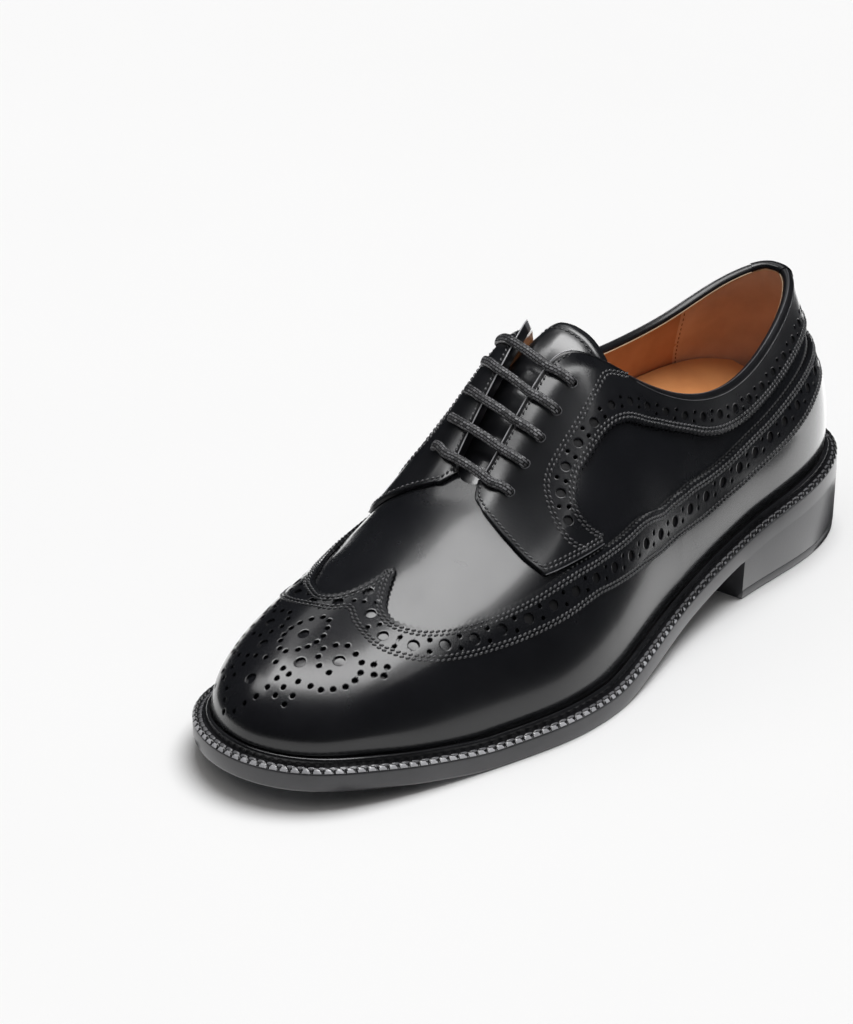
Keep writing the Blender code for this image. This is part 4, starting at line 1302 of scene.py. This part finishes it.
def thread(name, centres, alongs, outs, length=1.75, radius=0.42, slant=0.4, look=THREAD_WITH_SHEEN):
    """One joined mesh of stitches."""
    sideways = unit(np.cross(outs, alongs))
    alongs = unit(alongs + sideways * slant)
    sideways = unit(np.cross(outs, alongs))
    reach = np.array([-0.5, -0.36, 0.0, 0.36, 0.5]) * length
    girth = np.array([0.25, 0.85, 1.0, 0.85, 0.25]) * radius
    sink = np.array([-0.5, -0.1, 0.0, -0.1, -0.5]) * radius
    angle = circle(THREAD_RING)[:, None]
    reach, girth, sink = (values[:, None, None] for values in (reach, girth, sink))
    centres, alongs, outs, sideways = (ways[:, None, None] for ways in (centres, alongs, outs, sideways))
    outward = outs * (sink + girth * np.cos(angle))
    verts = centres + alongs * reach + outward + sideways * (girth * np.sin(angle))
    rings = len(reach)
    one = grid_faces(rings, THREAD_RING)[:, ::-1]
    block = rings * THREAD_RING
    starts = (np.arange(len(centres)) * block)[:, None, None]
    faces = (one[None] + starts).reshape(-1, 4).tolist()
    caps = np.array([list(range(THREAD_RING)), list(range(block - THREAD_RING, block))[::-1]])
    faces += (caps[None] + starts).reshape(-1, THREAD_RING).tolist()
    return piece(name, verts, faces, [look], sharp=70.0)


ON_OVERLAY = OVERLAY_TOP + 0.05
FINE_PITCH = 1.95
# Rows to the left of a seam, by millimetres
WING_ROWS = (-1.7, -3.0)
DOUBLE_ROW = (-0.65, 0.65)
wing_paths = [beside(wing_line, by) for by in WING_ROWS] + [beside(low_line, by) for by in DOUBLE_ROW]
facing_paths = [beside(path, by) for path in (window, eyestay) for by in DOUBLE_ROW]
facing_paths += [beside(facing_front, 1.5), beside(facing_foot, 1.5), beside(facing_foot, 2.8)]
throat_line = topline[(topline[:, 0] > 0.15) & (topline[:, 0] < 0.27)][::-1]
throat_line[:, 1] -= 1.6 / rib_length(throat_line[:, 0])
facing_paths.append(throat_line)
for name, paths in (
    ("wing_stitches", wing_paths),
    ("facing_stitches_outer", facing_paths),
    ("facing_stitches_inner", [other_side(path) for path in facing_paths]),
):
    thread(name, *stitch_rows([(path, ON_OVERLAY, FINE_PITCH) for path in paths]))
SEAM_BEHIND = 0.0022
for name, seam in zip(("lining_seam_inner", "lining_seam_outer"), seams):
    behind = seam + (SEAM_BEHIND if seam[0, 0] > 0 else -SEAM_BEHIND, 0)
    centres, alongs, outs = stitch_rows([(behind, -WALL - 0.02, 2.3)])
    thread(name, centres, alongs, -outs, 1.4, 0.26, 0.05, TAN_THREAD)
HEM_SEAM = 0.875
hem_row = int(round(HEM_SEAM * (tongue_rows_many - 1)))
hem = tongue_top[hem_row, 4:-4]
hem_run = run_along(hem)
hem_at = np.linspace(0, hem_run[-1], int(hem_run[-1] / 2.2) + 1)
hem_even = read_along(hem, hem_run, hem_at)
hem_up = read_along(tongue_up[hem_row, 4:-4], hem_run, hem_at)
hem_mid = (hem_even[1:] + hem_even[:-1]) / 2
thread("tongue_stitches", hem_mid, unit(hem_even[1:] - hem_even[:-1]), unit(hem_up[1:] + hem_up[:-1]))

# Welt: a flange of rounded stitch heads with a row of thread beside an upright lip
WELT_BEADS = 192
LIP_HEIGHT = 2.9
LIP_FOOT = 1.5
PER_BEAD = 10
welt_s = np.linspace(0, 1, WELT_BEADS * PER_BEAD, endpoint=False)
edge, out = outline(welt_s)
base = sole_top(edge[:, 0])
coarse = np.linspace(0, 1, 220, endpoint=False)
coarse_edge = outline(coarse)[0]
coarse_z = sole_top(coarse_edge[:, 0]) + LIP_HEIGHT
coarse_t = np.array([share_at_height(s, z) for s, z in zip(coarse, coarse_z)])
lip_t = np.interp(welt_s, np.append(coarse, 1.0), np.append(coarse_t, coarse_t[0]))
lip = skin(welt_s, lip_t, OVERLAY_TOP + GAP)
foot_in = skin(welt_s, 0.0, OVERLAY_TOP + GAP)
rim = np.stack([edge[:, 1], edge[:, 0], base], -1)
toward = np.stack([out[:, 1], out[:, 0], np.zeros(len(out))], -1)
lip_line = np.stack([lip[:, 0], lip[:, 1], base], -1)
lip_foot = lip_line + toward * LIP_FOOT
BEAD_ROUND = 0.55
THREAD_ROUND = 0.8
bead = np.abs(np.cos(math.pi * welt_s * WELT_BEADS)) ** BEAD_ROUND
small_bead = np.abs(np.sin(math.pi * welt_s * WELT_BEADS)) ** THREAD_ROUND
# Across the flange from its edge to the lip: share, height, then how far the beads swell out and up,
# and the thread up
FLANGE = [
    (0.02, -0.1, 0, 0, 0), (0.01, 0.05, 0.1, 0.1, 0), (0.06, 0.15, 0.15, 0.32, 0),
    (0.13, 0.25, 0.1, 0.62, 0), (0.21, 0.35, 0, 0.88, 0), (0.29, 0.4, 0, 0.98, 0), (0.36, 0.4, 0, 0.8, 0),
    (0.42, 0.4, 0, 0.35, 0), (0.47, 0.4, 0, 0, 0), (0.55, 0.45, 0, 0, 0.3), (0.63, 0.5, 0, 0, 0.45),
    (0.71, 0.45, 0, 0, 0.3), (0.80, 0.35, 0, 0, 0), (0.96, 0.35, 0, 0, 0),
]
# The upright lip: distance out from the wing cap, height
LIP = [(1.45, 0.8), (1.35, 2.0), (1.22, 2.4), (1.0, 2.66), (0.75, 2.8), (0.45, 2.84), (0.15, 2.7)]
up = np.array([0.0, 0.0, 1.0])
columns = []
for share, height, swell, rise, little in FLANGE:
    height_here = height + rise * bead + little * small_bead
    flat_here = rim + (lip_foot - rim) * share + toward * (swell * bead)[:, None]
    columns.append(flat_here + up * height_here[:, None])
for away, height in LIP:
    columns.append(lip_line + toward * away + up * height)
columns.append(np.stack([foot_in[:, 0], foot_in[:, 1], sole_top(foot_in[:, 1]) + 0.3], -1))
welt_points = np.stack(columns, 1)
welt_faces = grid_faces(len(welt_s), len(columns), True)
face_column = np.tile(np.arange(len(columns)), len(welt_s))
face_bead = np.repeat(bead, len(columns))
face_small = np.repeat(small_bead, len(columns))
# The painted highlight on each bead narrows upwards: least swelling of the bead that gets it, column by
# column
HIGHLIGHT_FROM = [9, 0.7, 0.7, 0.8]
least = np.array(HIGHLIGHT_FROM + [9] * (len(columns) - len(HIGHLIGHT_FROM)))
# Away from the toe the painted highlights get smaller, and by the heel they are dimmer
face_far = np.repeat(np.minimum(welt_s, 1 - welt_s), len(columns))
SHRINK = 0.22
SHRINK_FROM = (0.14, 0.32)
DIM_FROM = 0.3
THREAD_COLUMNS = (8, 9, 10)
THREAD_FROM = 0.5
face_least = least[face_column] + SHRINK * ramp(face_far, *SHRINK_FROM)
# Faces with a painted highlight: 1 by the toe, 2 dimmer by the heel and on the row of thread
painted_highlights = (1 + (face_far > DIM_FROM)) * (face_bead > face_least)
painted_highlights += 2 * (np.isin(face_column, THREAD_COLUMNS) & (face_small > THREAD_FROM))
welt_looks = [WELT_BLACK, HEAD_HIGHLIGHT, DIM_HEAD_HIGHLIGHT]
piece("stitched_welt", welt_points, welt_faces, welt_looks, ("welt",), pick=painted_highlights)


def slab(name, loops, cap_heights, look, stands_for):
    """A solid from rings of points, top ring first, with caps that follow a height along the shoe."""
    loops = np.asarray(loops, float)
    count = loops.shape[1]
    points = list(loops.reshape(-1, 3))
    faces = grid_faces(len(loops), count)[:, ::-1].tolist()
    for level, height, way in ((0, cap_heights[0], 1), (len(loops) - 1, cap_heights[1], -1)):
        ring = loops[level]
        low_corner = ring.min(0)
        high_corner = ring.max(0)
        inside = [(x, d) for d in np.arange(low_corner[1] + 5, high_corner[1] - 2, 7.0)
                  for x in np.arange(low_corner[0] + 5, high_corner[0] - 2, 9.0)]
        flat = [Vector(p[:2]) for p in ring] + [Vector(p) for p in inside]
        edges = [(j, (j + 1) % count) for j in range(count)]
        result = geometry.delaunay_2d_cdt(flat, edges, [], 1, 1e-6)
        index = {}
        for face in result[2]:
            corners = []
            for v in face:
                source = result[3][v][0]
                if source < count:
                    corners.append(level * count + source)
                else:
                    if source not in index:
                        index[source] = len(points)
                        x, d = inside[source - count]
                        points.append(np.array([x, d, float(height(d))]))
                    corners.append(index[source])
            faces.append(corners[::way])
    return piece(name, points, faces, [look], stands_for, sharp=60.0)


def sole_ring(inset, height, lift, keen=0.0):
    """A ring of the sole; a keen one isn't drawn in where it sits on the heel."""
    e, o = outline(np.linspace(0, 1, COLUMNS, endpoint=False))
    plan = e - o * (inset * (1 - keen * ramp(e[:, 0], HEEL_BREAST - 2, HEEL_BREAST)))[:, None]
    return np.stack([plan[:, 1], plan[:, 0], height(plan[:, 0]) + lift], -1)


slab("outsole_edge", [
    sole_ring(0.5, sole_top, 0.0), sole_ring(0.12, sole_top, -0.25), sole_ring(0.0, sole_top, -0.7),
    sole_ring(0.0, tread, 0.8), sole_ring(0.15, tread, 0.3, 1.0), sole_ring(0.6, tread, 0.0, 1.0),
], (sole_top, tread), SOLE_EDGE, ("outsole",))


def heel_ring(first, inset, height, lift):
    """The sole's outline behind the breast, closed by a straight breast."""
    e, o = outline(np.linspace(float(way_round(first, 1)), float(way_round(first, -1)), 160))
    plan = e - o * inset
    plan[[0, -1], 0] = first
    plan = np.vstack([plan, np.linspace(plan[-1], plan[0], 12)[1:-1]])
    return np.stack([plan[:, 1], plan[:, 0], height(plan[:, 0]) + lift], -1)


def heel_top(d):
    return tread(d) - 0.03


def flat(height):
    """A height that stays the same along the shoe, as a function."""
    return lambda d: np.full_like(np.asarray(d, float), height)


HEEL_LOW = flat(TOP_PIECE + 0.05)
LIFT_TOP = flat(TOP_PIECE)
FLOOR = flat(0.0)
LIFT_BREAST = HEEL_BREAST + 0.4
# Rings from the top down: inset from the sole's outline, height, lift
heel_rings = [(0.02, heel_top, 0.0), (0.04, heel_top, -0.4), (0.95, HEEL_LOW, 0.15), (1.05, HEEL_LOW, 0.0)]
lift_rings = [(1.15, LIFT_TOP, 0.0), (1.0, LIFT_TOP, -0.2), (1.35, FLOOR, 0.4), (1.6, FLOOR, 0.0)]
slab("heel_stack", [heel_ring(HEEL_BREAST, *ring) for ring in heel_rings], (heel_top, HEEL_LOW), HEEL_EDGE,
     ("heel_block",))
slab("top_lift", [heel_ring(LIFT_BREAST, *ring) for ring in lift_rings], (LIFT_TOP, FLOOR), TOP_RUBBER,
     ("heel_top_piece",))

# Footbed: dished tan leather from the sole up to its rim along the lining
FOOTBED_IN = -(WALL + 0.7)
BED_START = 13
BED_STOP = 291.5
DISH_MOST = 3.0
DISH_SHARE = 0.05
UP_WALL = np.array([0.04, 0.35, 0.7, 0.985])
bed_d = BED_START + (BED_STOP - BED_START) * (1 - np.cos(np.linspace(0, math.pi, 90))) / 2
bed_rows = []
for d in bed_d:
    walls = []
    for side, column in ((1, 1), (-1, 2)):
        s = float(way_round(d, side))
        top_share = share_at_height(s, float(plain_curve(FOOTBED_RIM, d, column)))
        wall = skin(s, UP_WALL * top_share, FOOTBED_IN)
        wall[0, 2] = sole_top(wall[0, 1]) + GAP
        walls.append(wall)
    outer_top = walls[0][3] + (0, 0, 0.15)
    across = walls[1][3] - walls[0][3]
    dish = min(DISH_MOST, np.linalg.norm(across) * DISH_SHARE)
    part = np.linspace(0.02, 0.98, 21)[:, None]
    middle = outer_top + across * part - np.array([0, 0, 1.0]) * dish * (1 - (2 * part - 1) ** 2)
    bed_rows.append(np.vstack([walls[0], middle, walls[1][::-1]]))
bed_rows = np.array(bed_rows)
piece("footbed", bed_rows, tube_faces(*bed_rows.shape[:2]), [FOOTBED], ("insole",))

# Camera: the photograph's own view of the shoe
CAMERA_AZIMUTH = math.radians(41.2)
CAMERA_HEIGHT = math.radians(25.66)
CAMERA_ROLL = math.radians(-1.47)
CAMERA_AWAY = 1396.7
CAMERA_TARGET = (-43.4, 141.93, 37.15)
LENS_PIXELS = 4002.0
PHOTO_WIDTH = 853.0
back = np.array([
    math.sin(CAMERA_AZIMUTH) * math.cos(CAMERA_HEIGHT),
    -math.cos(CAMERA_AZIMUTH) * math.cos(CAMERA_HEIGHT),
    math.sin(CAMERA_HEIGHT),
])
level = unit(np.cross((0.0, 0.0, 1.0), back))
upward = np.cross(back, level)
right = level * math.cos(CAMERA_ROLL) + upward * math.sin(CAMERA_ROLL)
upward = upward * math.cos(CAMERA_ROLL) - level * math.sin(CAMERA_ROLL)
lens = bpy.data.cameras.new("camera")
lens.sensor_fit = "HORIZONTAL"
lens.sensor_width = 36.0
lens.lens = LENS_PIXELS / PHOTO_WIDTH * lens.sensor_width
lens.clip_start = 0.05
lens.clip_end = 50.0
camera = bpy.data.objects.new("camera", lens)
bpy.context.scene.collection.objects.link(camera)
stand = place(np.array(CAMERA_TARGET)) + back * CAMERA_AWAY * MM
camera.matrix_world = Matrix([*np.stack([right, upward, back, stand], -1), (0, 0, 0, 1)])
bpy.context.scene.camera = camera

# Pale floor
PALE = (0.88, 0.88, 0.88)
PALE_TONES = (0.875, 0.875, 0.875), (0.885, 0.885, 0.885)
FLOOR_HALF = 30
floor_look, floor_tree, floor_shader = material("pale_floor", PALE, 0.7, Specular_IOR_Level=0.0)
two_tones(floor_tree, floor_shader, noise(floor_tree, 3.0).outputs["Fac"], *PALE_TONES)


def ground(name, areas, height, look):
    mesh = bpy.data.meshes.new(name)
    starts = np.cumsum([0] + [len(area) for area in areas]).tolist()
    spots = [(x, y, height) for area in areas for x, y in area]
    mesh.from_pydata(spots, [], [tuple(range(a, b)) for a, b in zip(starts, starts[1:])])
    mesh.materials.append(look)
    thing = bpy.data.objects.new(name, mesh)
    bpy.context.scene.collection.objects.link(thing)
    return thing


whole_floor = [(x * FLOOR_HALF, y * FLOOR_HALF) for x, y in ((-1, -1), (1, -1), (1, 1), (-1, 1))]
floor = ground("floor", [whole_floor], 0.0, floor_look)
floor.visible_glossy = False
# A sheet that glows just above the floor and shows only in the polish: a painted reflection of the bright
# floor,
# # brightest by the heel and beside the toe, with none under the shoe, where the shadow is: areas in metres
NEAR_FLOOR = [
    [(0.036, -0.14), (0.098, -0.14), (0.1, -0.06), (0.09, 0.0), (0.078, 0.04), (0.073, 0.08), (0.08, 0.13),
     (0.1, 0.2), (0.12, 0.26), (0.22, 0.29), (0.22, 0.4), (0.036, 0.4)],
    [(-0.13, -0.3), (-0.05, -0.45), (0.12, -0.45), (0.12, -0.25), (0.098, -0.14), (-0.13, -0.14)],
    [(-0.13, -0.14), (-0.045, -0.14), (-0.045, 0.4), (-0.3, 0.4), (-0.3, 0.1)],
    [(-0.045, 0.165), (0.036, 0.165), (0.036, 0.4), (-0.045, 0.4)],
]
polish_look = bpy.data.materials.new("painted_floor_reflection")
polish_look.use_nodes = True
polish_tree = polish_look.node_tree
polish_tree.nodes.clear()
polish_glow = add(polish_tree, "ShaderNodeEmission")
polish_out = add(polish_tree, "ShaderNodeOutputMaterial")
polish_spot = add(polish_tree, "ShaderNodeTexCoord")
polish_axes = add(polish_tree, "ShaderNodeSeparateXYZ")
polish_sum = add(polish_tree, "ShaderNodeMath")
for source, target in (
    (polish_spot.outputs["Object"], polish_axes.inputs["Vector"]),
    (spread(polish_tree, polish_axes.outputs["Y"], 0.9, 2.2, 0.0, 0.26), polish_sum.inputs[0]),
    (spread(polish_tree, polish_axes.outputs["X"], 0.0, 0.7, -0.06, -0.2), polish_sum.inputs[1]),
    (polish_sum.outputs["Value"], polish_glow.inputs["Strength"]),
    (polish_glow.outputs["Emission"], polish_out.inputs["Surface"]),
):
    polish_tree.links.new(source, target)
reflection_sheet = ground("painted_floor_reflection", NEAR_FLOOR, 0.0004, polish_look)
reflection_sheet.visible_camera = False
reflection_sheet.visible_diffuse = False
reflection_sheet.visible_shadow = False

# Soft studio light
bpy.context.scene.view_settings.view_transform = "Standard"
world = bpy.data.worlds.new("studio")
world.use_nodes = True
sky = world.node_tree.nodes["Background"]
sky.inputs["Color"].default_value = (0.8, 0.88, 1.0, 1)
sky.inputs["Strength"].default_value = 0.02
bpy.context.scene.world = world


def softbox(name, at, width, depth, glow, shows=True):
    """An area light, facing down: one that shows is seen in the polish, another lights matt surfaces."""
    data = bpy.data.lights.new(name, "AREA")
    data.shape = "RECTANGLE"
    data.size = width
    data.size_y = depth
    data.energy = glow * math.pi * width * depth
    lamp = bpy.data.objects.new(name, data)
    lamp.location = at
    lamp.rotation_euler = Vector((0, 0, -1)).to_track_quat("-Z", "Y").to_euler()
    lamp.visible_glossy = shows
    lamp.visible_diffuse = not shows
    bpy.context.scene.collection.objects.link(lamp)
    return lamp


softbox("overhead", (0.06, 0.05, 1.0), 0.95, 0.32, 5.7)
softbox("overhead_rim", (0.06, 0.06, 1.01), 1.25, 0.55, 0.9)
softbox("toe_strip", (-0.5, -0.2, 1.0), 0.42, 0.26, 3.0)
softbox("side_strip", (0.8, -0.03, 1.0), 0.5, 0.14, 2.2)
fill = softbox("fill", (-0.1, 0.2, 4.0), 9.0, 9.0, 0.50, False)
fill.data.color = (1.0, 0.975, 0.945)
softbox("back_left", (-0.62, 0.55, 1.0), 0.5, 0.42, 0.8)
# A broad soft light from above and behind, so that the shadow falls towards the toe
broad = bpy.data.lights.new("broad", "SUN")
broad.energy = 2.56
broad.color = (0.994, 1.0, 1.008)
broad.angle = math.radians(42)
broad_lamp = bpy.data.objects.new("broad", broad)
broad_lamp.location = (1.5, 2.0, 3.0)
broad_lamp.rotation_euler = (-Vector((0.06, 0.32, 0.94))).to_track_quat("-Z", "Y").to_euler()
broad_lamp.visible_glossy = False
bpy.context.scene.collection.objects.link(broad_lamp)
